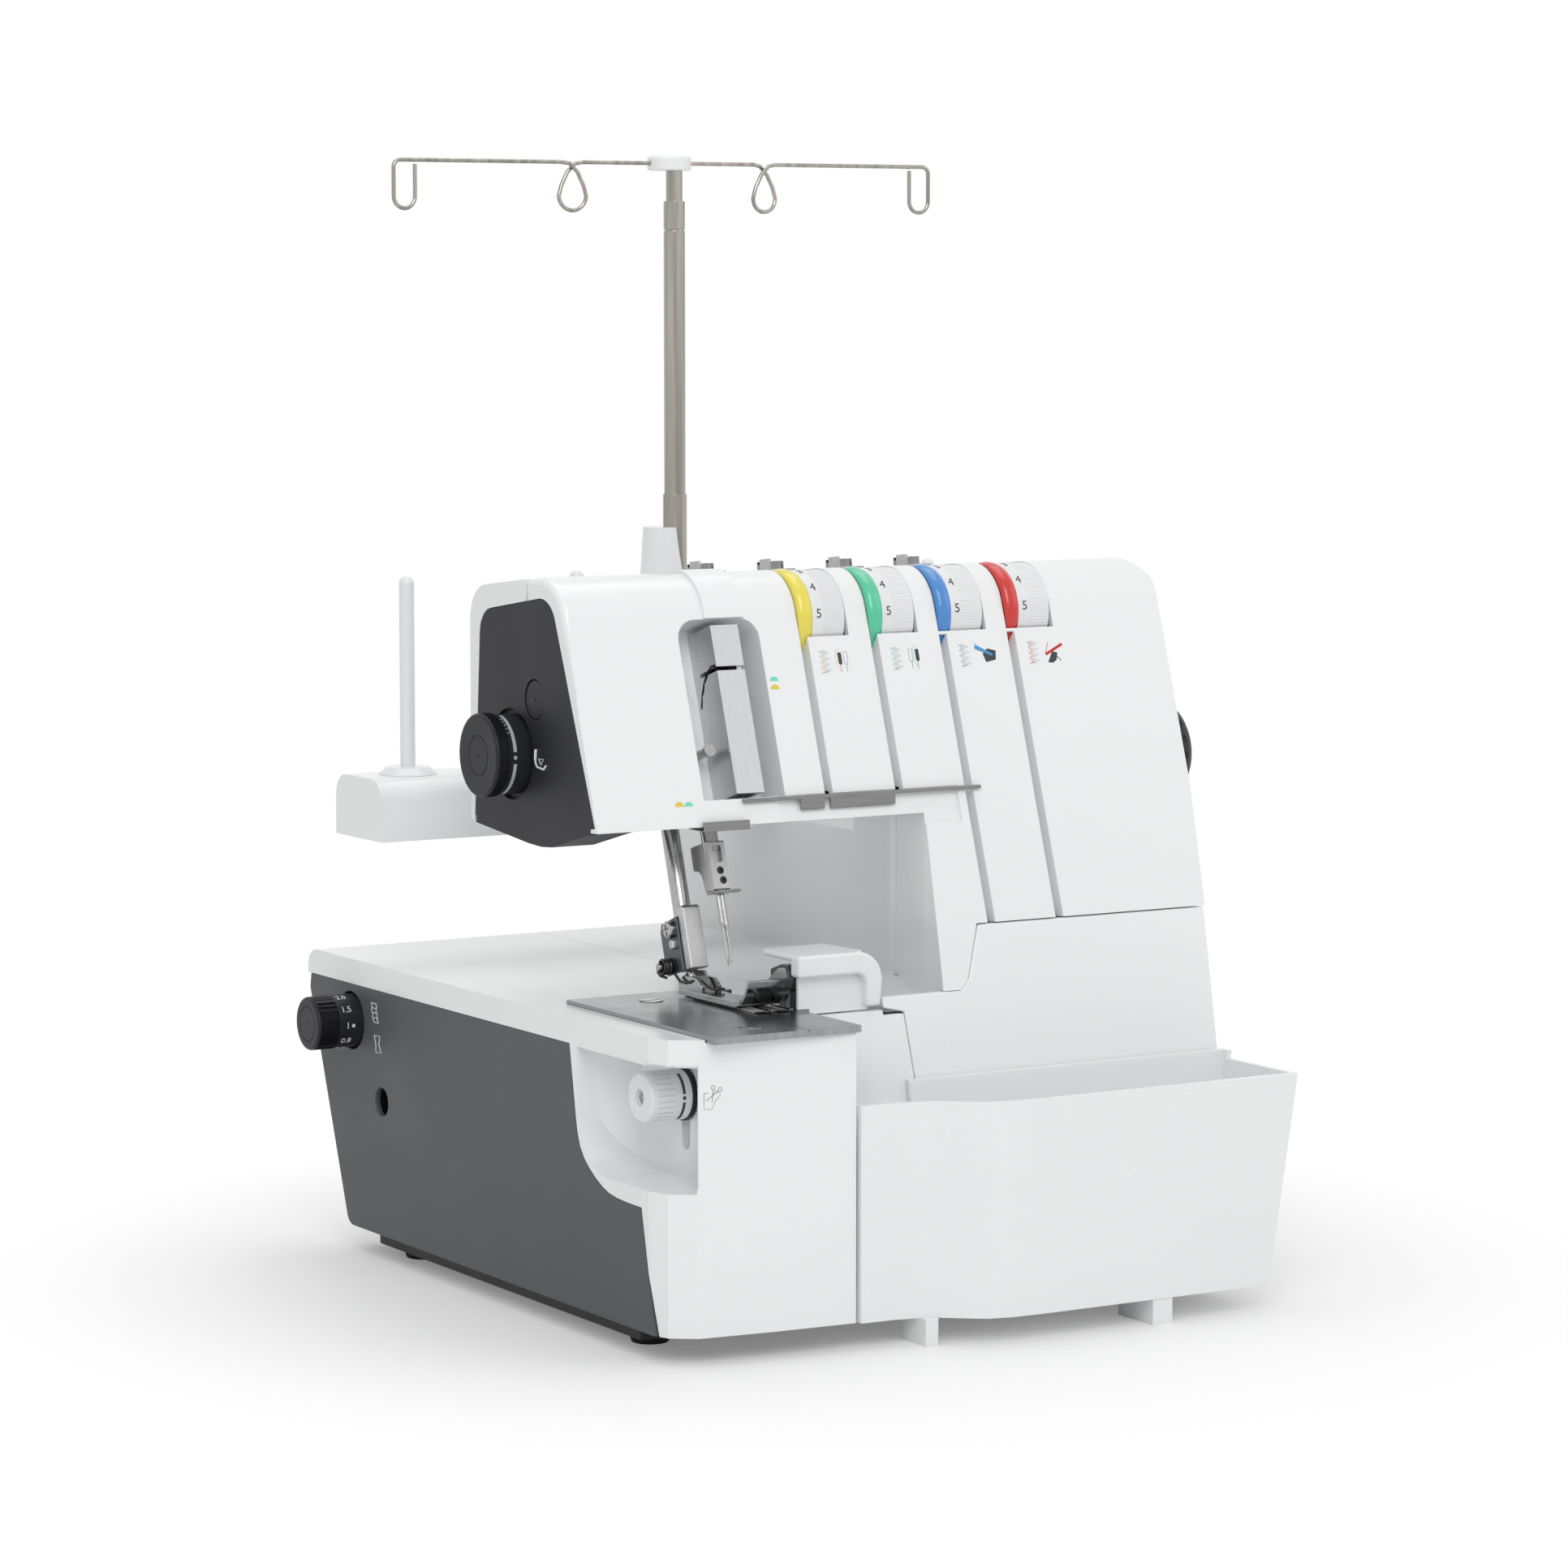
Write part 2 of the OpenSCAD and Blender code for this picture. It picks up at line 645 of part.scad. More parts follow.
module lower_knife() {
    color("silver") difference() {
        union() {
            span([cut_x - 2.2, 30, 101], [cut_x - 0.4, 44, plate_top + 0.4]);
            span([cut_x - 2.2, 26.6, 100], [cut_x + 0.4, 30, 116]);
        }
        rod_x(cut_x - 17, cut_x + 13, 37, 106, 3.4);
    }
}

module upper_knife() {
    color("#55585c") {
        along_x(cut_x, cut_x + 2) polygon([[34, plate_top - 1], [44, plate_top + 1.5], [48, plate_top + 8],
            [62, plate_top + 9.6], [62, plate_top + 13], [44, plate_top + 15], [34, plate_top + 10]]);
        span([cut_x, 44, plate_top + 4], [cut_x + 6.4, 52, plate_top + 15]);
        rod_x(cut_x + 2, cut_x + 9, 48, plate_top + 9.5, 7);
        span([cut_x + 6.4, 44.4, 99.5], [cut_x + 10, 52, plate_top + 15]);
        span([cut_x + 6.4, 44.4, 99.5], [cut_x + 10, 80, 107]);
        rod_x(cut_x + 5, looper_root_x, 78, 104, 9);
    }
}

looper_root_x = cut_x + 52.6;
looper_y = 60;

module upper_looper() {
    color("silver") {
        rod_x(looper_root_x - 9.6, looper_root_x, looper_y, 88, 12);
        span([looper_root_x - 8.6, looper_y - 4, 90], [looper_root_x - 4.6, looper_y + 2, 106]);
        span([cut_x + 13, looper_y - 4, 103], [looper_root_x - 4.6, looper_y, 106]);
    }
}

module lower_looper() {
    color("silver") {
        rod_x(looper_root_x - 9.6, looper_root_x, looper_y, 52, 12);
        span([looper_root_x - 8.6, looper_y - 3, 54], [looper_root_x - 4.6, looper_y + 3, 80]);
        span([cut_x + 11, looper_y - 2, 76], [looper_root_x - 4.6, looper_y + 2, 80]);
        span([cut_x + 11, looper_y - 2, 76], [cut_x + 15, looper_y + 2, 92]);
    }
}

foot_z = plate_top + 1;

module presser_bar() {
    color("silver") {
        on_bar(presser_x, presser_y, 139) cylinder(d = presser_d, h = 92);
        on_bar(presser_x, presser_y, 206) cylinder(d = presser_d + 4, h = 3);
    }
}

module foot_holder() {
    color("#4a4d52") {
        difference() {
            on_bar(presser_x, presser_y, 131) translate([-3.6, -7, 0]) cube([7.5, 18.5, 24.5]);
            on_bar(presser_x, presser_y, 139) cylinder(d = presser_d, h = 60);
            on_bar(presser_x, presser_y, 131) translate([-5, 2.9, -1]) cube([10, 9, 9]);
        }
    }
}

module foot_screw() {
    color("silver") on_bar(presser_x, presser_y, 147) translate([-6.4, 2, 0]) rotate([0, 90, 0])
        difference() {
            cylinder(d = 7, h = 2.8);
            translate([-2.5, -0.5, -1]) cube([5, 1, 2]);
            translate([-0.5, -2.5, -1]) cube([1, 5, 2]);
        }
}

module presser_foot() {
    color("#8c9096") {
        difference() {
            union() {
                along_x(55.4, 71) polygon([[34, foot_z + 1.2], [38, foot_z], [80, foot_z], [80, foot_z + 2.4],
                    [40, foot_z + 2.6], [35, foot_z + 5]]);
                along_x(56, 75.6) polygon([[34, foot_z + 1.2], [35, foot_z + 5], [29, foot_z + 10.4], [27, foot_z + 8.6]]);
            }
            span([65.6, 51, 100], [80, 66, 140]);
        }
        span([55.4, 62, foot_z + 2], [57, 80, foot_z + 8]);
        span([62.4, 66, foot_z + 2], [64.2, 80, foot_z + 8]);
        rod_x(55.4, 64.2, bar_y(presser_y, foot_z + 7), foot_z + 6.4, 3);
        along_x(57, 62.4) polygon([[62, foot_z + 2], [78, foot_z + 2], [78.5, foot_z + 8], [69, foot_z + 8]]);
    }
}

module foot_spring() {
    color("#222") on_bar(presser_x, presser_y, 131) translate([-5.6, 6, 0.2])
        for (i = [0:3]) translate([0, 0, i * 2]) rotate_extrude() translate([2.2, 0]) circle(d = 1.5, $fn = 16);
    color("#222") on_bar(presser_x, presser_y, 131) translate([-5.6, 6, -2]) cylinder(d = 3.2, h = 10);
}

module needle_bar() {
    color("silver") {
        on_bar(needle_x, needle_y, 176) cylinder(d = needle_bar_d, h = 104);
        on_bar(needle_x, needle_y, 252) translate([-4.6, -5, 0]) cube([9.4, 10, 8]);
        on_bar(needle_x, needle_y, 256) rotate([0, 90, 0]) cylinder(d = 5, h = 6.3);
    }
}

module needle_clamp() {
    color("silver") difference() {
        on_bar(needle_x + 0.4, needle_y, 161.5) difference() {
            translate([-3.6, -3.5, 0]) cube([7.2, 13.5, 18.8]);
            translate([-5, 6, -1]) cube([10, 9, 10]);
            translate([-5, -1.6, 13]) cube([2.6, 6, 3.6]);
        }
        on_bar(needle_x, needle_y, 176) cylinder(d = needle_bar_d, h = 20);
        for (n = [0, 1.6]) on_bar(needle_x + n, needle_y, 140) cylinder(d = 2, h = 25);
    }
}

module needles() {
    color("silver") for (n = [[0, 0], [1.6, 1]]) on_bar(needle_x + n[0], needle_y, 133.6 - n[1]) {
        cylinder(d1 = 0.3, d2 = 0.9, h = 3);
        translate([0, 0, 3]) cylinder(d = 0.9, h = 12);
        translate([0, 0, 15]) cylinder(d1 = 0.9, d2 = 2, h = 2);
        translate([0, 0, 17]) cylinder(d = 2, h = 15 + n[1]);
    }
}

module set_screws() {
    color("#222") for (s = [[4, 2.2], [8.6, -0.8]]) on_bar(needle_x - 3.9, needle_y, 161.5)
        translate([0, s[1], s[0]]) rotate([0, 90, 0]) cylinder(d = 2.8, h = 0.7);
}

module needle_thread_guide() {
    color("silver") on_bar(needle_x, needle_y, 160.6) {
        difference() {
            translate([-3.8, -7, 0]) cube([11, 12, 0.9]);
            translate([-2.4, -5.8, -1]) cube([8, 3, 3]);
            for (n = [0, 1.6]) translate([n, 0, -1]) cylinder(d = 2, h = 3);
        }
    }
}

module head_thread_guide() {
    color("silver") {
        span([44, 43.4, arm_low_z - 1.6], [64, 52, arm_low_z - 0.4]);
        span([44, 40.4, arm_low_z - 1.6], [64, 41.6, arm_low_z + 2]);
        for (x = [44, 52.8, 62]) span([x, 40.4, arm_low_z - 1.6], [x + 2, 46, arm_low_z - 0.4]);
    }
}

module take_up_cover() {
    color("silver") on_front(61.6, 201.4) difference() {
        cube([12, take_up_depth, 65]);
        translate([2, 2, -1]) cube([8, take_up_depth, 63.6]);
        translate([-1, -1, 47.5]) cube([14, 3.4, 1.6]);
        translate([-1, -1, 47.5]) cube([3.2, 14, 1.6]);
    }
}

module take_up_lever() {
    color("silver") on_front(66.4, 208) {
        translate([0, 12, 0]) rotate([0, 90, 0]) cylinder(d = 6, h = 4.4);
        translate([0, 10, 0]) cube([4.4, 4, 47]);
    }
}

module guide_pin() {
    color("silver") on_front(54.4, 217) translate([1.8, 5, 1.8]) rotate([-90, 0, 0]) {
        cylinder(d = 3.6, h = take_up_depth - 5);
        cylinder(d = 5, h = 1.6);
    }
}

module guide_plate() {
    lip_z = arm_low_z + 9;
    color("silver") {
        y1 = front_y(lip_z - 1);
        span([63, y1 - 1.8, lip_z - 1], [169, y1, lip_z + 0.4]);
        span([88, y1 - 1.8, lip_z - 5], [98.6, y1 - 0.8, lip_z - 1]);
        span([101, y1 - 1.8, lip_z - 5], [130, y1 - 0.8, lip_z - 1]);
    }
}

// One tension dial: ring, drum with gripping ribs, and its spindle.
module dial(i, c) {
    x0 = groove_x + pitch * i + 0.4;
    color(c) difference() {
        union() {
            rod_x(x0, x0 + 1.4, dial_y, dial_z, 2 * dial_r - 2.4);
            rod_x(x0 + 1.4, x0 + ring_w, dial_y, dial_z, 2 * dial_r);
            rod_x(x0 + ring_w, x0 + ring_w + dial_w, dial_y, dial_z, 2 * dial_r - 1.4);
            rod_x(x0, x0 + ring_w + dial_w + 7, dial_y, dial_z, post_d);
        }
        for (a = [0:12:359]) translate([x0 + ring_w + 4.6, dial_y, dial_z]) rotate([a, 0, 0])
            translate([0, dial_r - 0.7, -0.7]) cube([dial_w, 3, 1.4]);
    }
}

module dial_yellow() {
    dial(0, "#e8dc50");
}

module dial_green() {
    dial(1, "#55c89e");
}

module dial_blue() {
    dial(2, "#488ccd");
}

module dial_red() {
    dial(3, "#cd231c");
}

module tension_posts() {
    color("silver") {
        for (i = [0:threads - 1]) translate([groove_x + pitch * i + ring_w + dial_w + 3.4, 0, 0]) {
            span([0, dial_y - 3.4, 243], [3, dial_y + 28, dial_z - post_d / 2 - 0.4]);
            span([0, dial_y + post_d / 2 + 0.4, 243], [3, dial_y + 28, dial_z + 8]);
        }
        span([groove_x + 20, dial_y + 26, 240], [groove_x + pitch * 3 + 28, dial_y + 29, 252]);
        for (x = [124, 187]) span([x, dial_y + 29, 248], [x + 3, 131, 252]);
    }
}

function top_z(y) = round_z + arm_round / cos(top_lean) - tan(top_lean) * (y - round_y);

// The four places of the top thread guides on the arm, one behind each dial.
module guide_places() {
    for (i = [0:threads - 1]) translate([groove_x - 15 + pitch * i, 113, top_z(113)])
        rotate([-top_lean, 0, 0]) children();
}

module top_guides() {
    color("silver") guide_places() difference() {
        union() {
            translate([-6, -9, 0]) cube([12, 18, 1]);
            translate([-6, -9, 0]) cube([1, 7, 5]);
        }
        translate([0, 0, -1]) cylinder(d = 4, h = 4);
    }
}

module guide_screws() {
    color("silver") guide_places() difference() {
        union() {
            translate([0, 0, 1]) cylinder(d = 10.5, h = 3.2);
            translate([0, 0, -6]) cylinder(d = 4, h = 7);
        }
        translate([-6, -0.7, 3]) cube([12, 1.4, 3]);
    }
}

module pressure_dial() {
    color("#3e3f43") {
        rod_x(-pressure_h, -pressure_h + 2, pressure_y, pressure_z, pressure_d - 5);
        rod_x(-pressure_h + 2, 1.6, pressure_y, pressure_z, pressure_d);
    }
}

module lifter_lever() {
    color("#3e3f43") {
        translate([52, arm_back_y + 0.4, 204]) rotate([-90, 0, 0]) cylinder(d = 14, h = 6);
        span([52, arm_back_y + 1.4, 200], [92, arm_back_y + 6.4, 208]);
        span([84, arm_back_y + 1.4, 198], [98, arm_back_y + 11, 210]);
    }
}

module diff_dial() {
    color("#2c2d30") difference() {
        union() {
            rod_x(-diff_h, -diff_h + 1.4, diff_y, diff_z, diff_d - 2);
            rod_x(-diff_h + 1.4, panel_t + 6, diff_y, diff_z, diff_d);
        }
        for (a = [0:20:359]) translate([-diff_h - 1, diff_y, diff_z]) rotate([a, 0, 0])
            translate([0, diff_d / 2 - 0.8, -0.8]) cube([9, 3, 1.6]);
    }
}

module cut_knob() {
    x1 = 27 - gap - 0.1;
    color("white") {
        rod_x(x1 - cut_h, x1 - cut_h + 12, cut_y, cut_z, cut_d);
        rod_x(x1 - cut_h + 12, x1, cut_y, cut_z, cut_d - 1);
        rod_x(x1 - cut_h - 1, x1 - cut_h + 1, cut_y, cut_z, 6);
    }
}

wheel_y = 90;
wheel_z = 203;

module handwheel() {
    color("#3e3f43") translate([body_w + 0.8, wheel_y, wheel_z]) rotate([0, 90, 0]) difference() {
        rotate_extrude() polygon(concat([[0, 0], [wheel_d / 2 - 2, 0], [wheel_d / 2, 2], [wheel_d / 2, wheel_h - 10.8]],
            arc(wheel_d / 2 - 10, wheel_h - 10.8, 10, 0, 90, 8), [[0, wheel_h - 0.8]]));
        for (a = [0:18:359]) rotate([0, 0, a]) translate([wheel_d / 2 - 0.9, -1.2, -1]) cube([3, 2.4, wheel_h - 6]);
    }
}

module main_shaft() {
    color("silver") {
        rod_x(upright_x - 10, body_w + 0.8, wheel_y, wheel_z, 10);
        rod_x(motor_pulley_x - 1, motor_pulley_x + 15, wheel_y, wheel_z, 2 * pulley_big - 0.8);
        rod_x(motor_pulley_x - 3.5, motor_pulley_x - 1, wheel_y, wheel_z, 2 * pulley_big + 5.2);
    }
}

shaft_y = 129.6;
shaft_z = 234.1;

module needle_crank() {
    color("#6b6f74") {
        rod_x(46, upright_x + 9, shaft_y, shaft_z, 9);
        rod_x(needle_x + 6.8, needle_x + 16, shaft_y, shaft_z, 17);
        translate([0, shaft_y, shaft_z]) rotate([-37.1, 0, 0]) span([needle_x + 6.8, -39, -4], [needle_x + 11, 0, 4]);
    }
}

module stitch_dial() {
    color("#3e3f43") translate([side_x(60) - 9, 170, 60]) rotate([0, 90, 0]) {
        cylinder(d = 24, h = 20);
        translate([0, 0, 12]) cylinder(d = 30, h = 9);
    }
}

module cast_frame() {
    upright_back = upright_x + upright_w;
    sump_x = bin_x + 0.1;
    color("#7d8185") difference() {
        union() {
            translate([0, 0, 13]) linear_extrude(4)
                polygon([[24, 64], [sump_x, 64], [sump_x, 99], [upright_x + 26, 99], [upright_x + 26, 236],
                    [24, 236]]);
            span([upright_x, 100, 17], [upright_back, 138, 228]);
            span([upright_x, 114, 220], [upright_back, 138, 268]);
            span([upright_x, 62, 122], [upright_back, 138, 224]);
            span([upright_x - 26, 100, 17], [upright_back, 106, 60]);
            span([50, 131, 248], [upright_back, 138, 268]);
            span([50, 104, 198], [54, 138, 268]);
            span([50, 78, 198], [needle_x + 8, 112, 204]);
            span([50, 84, 216], [needle_x + 8, 116, 222]);
            span([sump_x - 5, 70, 13], [sump_x, 94, 110]);
        }
        rod_x(40, upright_x + 14, shaft_y, shaft_z, 9.12);
        rod_x(upright_x - 6, upright_x + 14, wheel_y, wheel_z, 10.12);
        on_bar(needle_x, needle_y, 170) cylinder(d = needle_bar_d + 0.12, h = 70);
        on_bar(presser_x, presser_y, 170) cylinder(d = presser_d + 0.12, h = 70);
    }
    color("#7d8185") span([looper_root_x + 0.4, 54, 16], [looper_root_x + 4.4, 94.9, 112]);
}

motor_y = 176;
motor_z = 58;
motor_pulley_x = upright_x + 17;

module motor() {
    color("#45484c") {
        rod_x(upright_x - 86, upright_x - 2, motor_y, motor_z, 58);
        rod_x(upright_x - 96, upright_x - 86, motor_y, motor_z, 30);
        span([upright_x - 76, motor_y - 20, 17], [upright_x - 10, motor_y + 20, 40]);
    }
}

module motor_pulley() {
    color("silver") {
        rod_x(upright_x - 1.6, upright_x + 32, motor_y, motor_z, 8);
        rod_x(motor_pulley_x, motor_pulley_x + 14, motor_y, motor_z, 14);
    }
}

belt_w = 10;
belt_t = 1.4;
pulley_small = 7.4;
pulley_big = 22.4;

function belt_loop(extra) =
    let (run = [wheel_y - motor_y, wheel_z - motor_z], turn = atan2(run[1], run[0]),
         side = asin((pulley_big - pulley_small) / norm(run)), steps = 24)
    concat(
        [for (i = [0:steps]) let (a = turn + 90 + side + i * (180 - 2 * side) / steps)
            [motor_y, motor_z] + (pulley_small + extra) * [cos(a), sin(a)]],
        [for (i = [0:steps]) let (a = turn - 90 - side + i * (180 + 2 * side) / steps)
            [wheel_y, wheel_z] + (pulley_big + extra) * [cos(a), sin(a)]]);

module drive_belt() {
    color("#222") along_x(motor_pulley_x + 2, motor_pulley_x + 2 + belt_w) difference() {
        polygon(belt_loop(belt_t));
        polygon(belt_loop(0));
    }
}

module power_inlet() {
    color("#2c2d30") translate([side_x(40) - 7, 206, 30]) difference() {
        cube([8.5, 25, 14]);
        translate([2, 2, 2]) cube([10, 21, 10]);
    }
    color("silver") for (y = [212, 218.5, 225]) translate([side_x(40) - 6, y, 36]) cube([6, 1.6, 3]);
}

module rocker_switch() {
    color("#2c2d30") translate([side_x(54) - 3, 208, 47]) cube([5, 21, 13]);
}

module stand_outline(d) {
    polygon(concat([[d, d], [stand_d - d, d]], arc(stand_d - 9, stand_h - 9, 9 - d, 0, 90, 5),
        arc(9, stand_h - 9, 9 - d, 90, 180, 5)));
}

module spool_stand() {
    color("white") difference() {
        union() {
            translate([mid_stand() - stand_w / 2, stand_y - stand_d / 2, deck_z]) difference() {
                along_x(0, stand_w) stand_outline(0);
                along_x(wall, stand_w - wall) translate([0, -wall - 1]) stand_outline(wall);
            }
            translate([mid_stand() - 3, stand_y + 4, deck_z + stand_h - 0.4]) {
                cylinder(d1 = 34, d2 = 24, h = 40);
                translate([0, 0, 40]) cylinder(d1 = 24, d2 = 17, h = column_z - deck_z - stand_h - 39.6);
            }
        }
        translate([mid_stand(), stand_y, deck_z - 20]) cylinder(d = tube_d, h = 200);
    }
}

module spool_pins() {
    color("white") for (x = [-pin_outer, -pin_inner, pin_inner, pin_outer])
        translate([mid_stand() + x, stand_y, deck_z + stand_h]) {
            cylinder(d1 = 24, d2 = 17, h = 3);
            cylinder(d = pin_d, h = pin_h - pin_d / 2);
            translate([0, 0, pin_h - pin_d / 2]) sphere(d = pin_d, $fn = 32);
        }
}

module pole_base() {
    foot = deck_z + 4;
    color("silver") translate([mid_stand(), stand_y, foot]) difference() {
        cylinder(d = tube_d, h = 305.5 - foot);
        translate([0, 0, 4]) cylinder(d = pole_d + 0.12, h = 200);
    }
}

module pole_slide() {
    color("silver") translate([mid_stand(), stand_y, 0]) {
        translate([0, 0, 282]) cylinder(d = pole_d, h = 130.5);
        translate([0, 0, 412.5]) cylinder(d = pole_d - 0.6, h = 0.8);
        translate([0, 0, 413.3]) cylinder(d = pole_d, h = 11.3);
        translate([0, 0, 424.6]) cylinder(d = pole_d - 2, h = 12.4);
    }
}

// The antenna: a hub with a wire each way, an eye over each inner pin and a U over each outer pin.
module antenna() {
    eye_r = 5;
    color("silver") translate([mid_stand(), stand_y, antenna_z]) {
        translate([0, 0, -3]) cylinder(d = 18, h = 6);
        for (s = [0, 1]) mirror([s, 0, 0]) {
            rod_x(8, pin_outer - 4, 0, 0, wire_d);
            rod_x(pin_outer + 4, pin_outer + 6.4, 0, 0, wire_d);
            translate([pin_inner, 0, -9]) cylinder(d = wire_d, h = 9);
            translate([pin_inner, 0, -9 - eye_r]) rotate([90, 0, 0]) rotate_extrude()
                translate([eye_r, 0]) circle(d = wire_d);
            for (x = [pin_outer - 4.6, pin_outer + 4.6]) translate([x, 0, -16]) cylinder(d = wire_d, h = 16.4);
            translate([pin_outer, 0, -16]) rotate([90, 0, 0]) rotate([0, 0, 180]) rotate_extrude(angle = 180)
                translate([4.6, 0]) circle(d = wire_d);
        }
    }
}

to_origin() base_tray();
to_origin() foot_pads();
to_origin() left_panel();
to_origin() bed_cover();
to_origin() front_frame();
to_origin() rear_shell();
to_origin() front_shell();
to_origin() head_panel();
to_origin() head_plug();
to_origin() looper_door();
to_origin() fabric_guide();
to_origin() waste_bin();
to_origin() needle_plate();
to_origin() plate_screws();
to_origin() feed_dogs();
to_origin() lower_knife();
to_origin() upper_knife();
to_origin() upper_looper();
to_origin() lower_looper();
to_origin() presser_bar();
to_origin() foot_holder();
to_origin() foot_screw();
to_origin() presser_foot();
to_origin() foot_spring();
to_origin() needle_bar();
to_origin() needle_clamp();
to_origin() needles();
to_origin() set_screws();
to_origin() needle_thread_guide();
to_origin() head_thread_guide();
to_origin() take_up_cover();
to_origin() take_up_lever();
to_origin() guide_pin();
to_origin() guide_plate();
to_origin() dial_yellow();
to_origin() dial_green();
to_origin() dial_blue();
to_origin() dial_red();
to_origin() tension_posts();
to_origin() top_guides();
to_origin() guide_screws();
to_origin() pressure_dial();
to_origin() lifter_lever();
to_origin() diff_dial();
to_origin() cut_knob();
to_origin() handwheel();
to_origin() main_shaft();
to_origin() needle_crank();
to_origin() stitch_dial();
to_origin() cast_frame();
to_origin() motor();
to_origin() drive_belt();
to_origin() motor_pulley();
to_origin() power_inlet();
to_origin() rocker_switch();
to_origin() spool_stand();
to_origin() spool_pins();
to_origin() pole_base();
to_origin() pole_slide();
to_origin() antenna();
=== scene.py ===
from math import cos, radians, sin
import bpy
from mathutils import Matrix, Vector


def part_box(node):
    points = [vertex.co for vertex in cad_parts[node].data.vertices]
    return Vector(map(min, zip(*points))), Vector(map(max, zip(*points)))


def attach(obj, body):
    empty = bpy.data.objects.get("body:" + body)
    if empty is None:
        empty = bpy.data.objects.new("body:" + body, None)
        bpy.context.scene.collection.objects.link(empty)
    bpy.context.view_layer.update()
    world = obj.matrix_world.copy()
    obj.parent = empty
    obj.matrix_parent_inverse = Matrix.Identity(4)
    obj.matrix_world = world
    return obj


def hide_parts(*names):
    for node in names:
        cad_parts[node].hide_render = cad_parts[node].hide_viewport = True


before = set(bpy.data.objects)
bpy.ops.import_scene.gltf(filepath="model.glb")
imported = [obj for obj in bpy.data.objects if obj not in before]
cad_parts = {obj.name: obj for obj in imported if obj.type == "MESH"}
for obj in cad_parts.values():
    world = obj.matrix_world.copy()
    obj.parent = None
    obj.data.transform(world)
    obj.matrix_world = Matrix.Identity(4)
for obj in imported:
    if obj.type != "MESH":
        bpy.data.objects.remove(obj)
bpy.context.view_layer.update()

# Base tray
# Dark moulded tray under the whole machine, a little smaller than the housing so that it makes a
# shadow line, with four rubber pads pressed into it.
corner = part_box("left_panel")[0]
front_left = Vector((corner.x, corner.y - 0.001, 0))
crease = 34


def place(x, y, z):
    """A point in millimetres from the housing's front left corner, on the table."""
    return front_left + Vector((x, y, z)) / 1000


def moulding_texture():
    """Tone, flow and grain of a moulded surface, shared by all the plastics."""
    group = bpy.data.node_groups.new("moulding_texture", "ShaderNodeTree")
    group.interface.new_socket("Grain size", in_out="INPUT", socket_type="NodeSocketFloat")
    for name in ("Tone", "Flow", "Grain"):
        group.interface.new_socket(name, in_out="OUTPUT", socket_type="NodeSocketFloat")
    new = group.nodes.new
    link = group.links.new
    taken = new("NodeGroupInput")
    given = new("NodeGroupOutput")
    where = new("ShaderNodeTexCoord")
    for name, scale, detail in (("Tone", 9, 3), ("Flow", 42, 4)):
        noise = new("ShaderNodeTexNoise")
        noise.inputs["Scale"].default_value = scale
        noise.inputs["Detail"].default_value = detail
        link(where.outputs["Object"], noise.inputs["Vector"])
        link(noise.outputs["Fac"], given.inputs[name])
    grain = new("ShaderNodeTexNoise")
    grain.inputs["Detail"].default_value = 2
    link(where.outputs["Object"], grain.inputs["Vector"])
    link(taken.outputs["Grain size"], grain.inputs["Scale"])
    link(grain.outputs["Fac"], given.inputs["Grain"])
    return group


def textured(name, texture, grain, low, high, rough, follows, strength, depth):
    """A material whose tone, gloss and relief each follow an output of a shared texture."""
    finish = bpy.data.materials.new(name)
    finish.use_nodes = True
    new = finish.node_tree.nodes.new
    link = finish.node_tree.links.new
    skin = finish.node_tree.nodes["Principled BSDF"]
    made = new("ShaderNodeGroup")
    made.node_tree = texture
    made.inputs["Grain size"].default_value = grain
    tone_from, gloss_from, relief_from = (made.outputs[output] for output in follows)
    tone = new("ShaderNodeMix")
    tone.data_type = "RGBA"
    tone.inputs["A"].default_value = (*low, 1)
    tone.inputs["B"].default_value = (*high, 1)
    link(tone_from, tone.inputs["Factor"])
    link(tone.outputs["Result"], skin.inputs["Base Color"])
    gloss = new("ShaderNodeMapRange")
    gloss.inputs["To Min"].default_value = rough[0]
    gloss.inputs["To Max"].default_value = rough[1]
    link(gloss_from, gloss.inputs["Value"])
    link(gloss.outputs["Result"], skin.inputs["Roughness"])
    bump = new("ShaderNodeBump")
    bump.inputs["Strength"].default_value = strength
    bump.inputs["Distance"].default_value = depth
    link(relief_from, bump.inputs["Height"])
    link(bump.outputs["Normal"], skin.inputs["Normal"])
    return finish, skin


def moulded(name, low, high, rough, grain, depth, coat):
    """A moulded plastic: two close tones, uneven gloss and a fine grain."""
    texture = bpy.data.node_groups.get("moulding_texture") or moulding_texture()
    finish, skin = textured(name, texture, grain, low, high, rough, ("Tone", "Flow", "Grain"), 0.5, depth)
    skin.inputs["Coat Weight"].default_value = coat
    skin.inputs["Coat Roughness"].default_value = 0.12
    skin.inputs["IOR"].default_value = 1.49 if coat else 1.33
    return finish


def pick(piece):
    """Makes a piece the only selected one, and the active one."""
    bpy.ops.object.select_all(action="DESELECT")
    piece.select_set(True)
    bpy.context.view_layer.objects.active = piece


def tidy(piece, angle=crease):
    """Smooth shading that keeps the crisp edges, on a mesh whose place is in its points."""
    pick(piece)
    bpy.ops.object.transform_apply(location=True, rotation=True, scale=True)
    bpy.ops.object.shade_smooth_by_angle(angle=radians(angle))
    even = piece.modifiers.new("even", "WEIGHTED_NORMAL")
    even.keep_sharp = True
    bpy.ops.object.modifier_apply(modifier="even")
    return piece


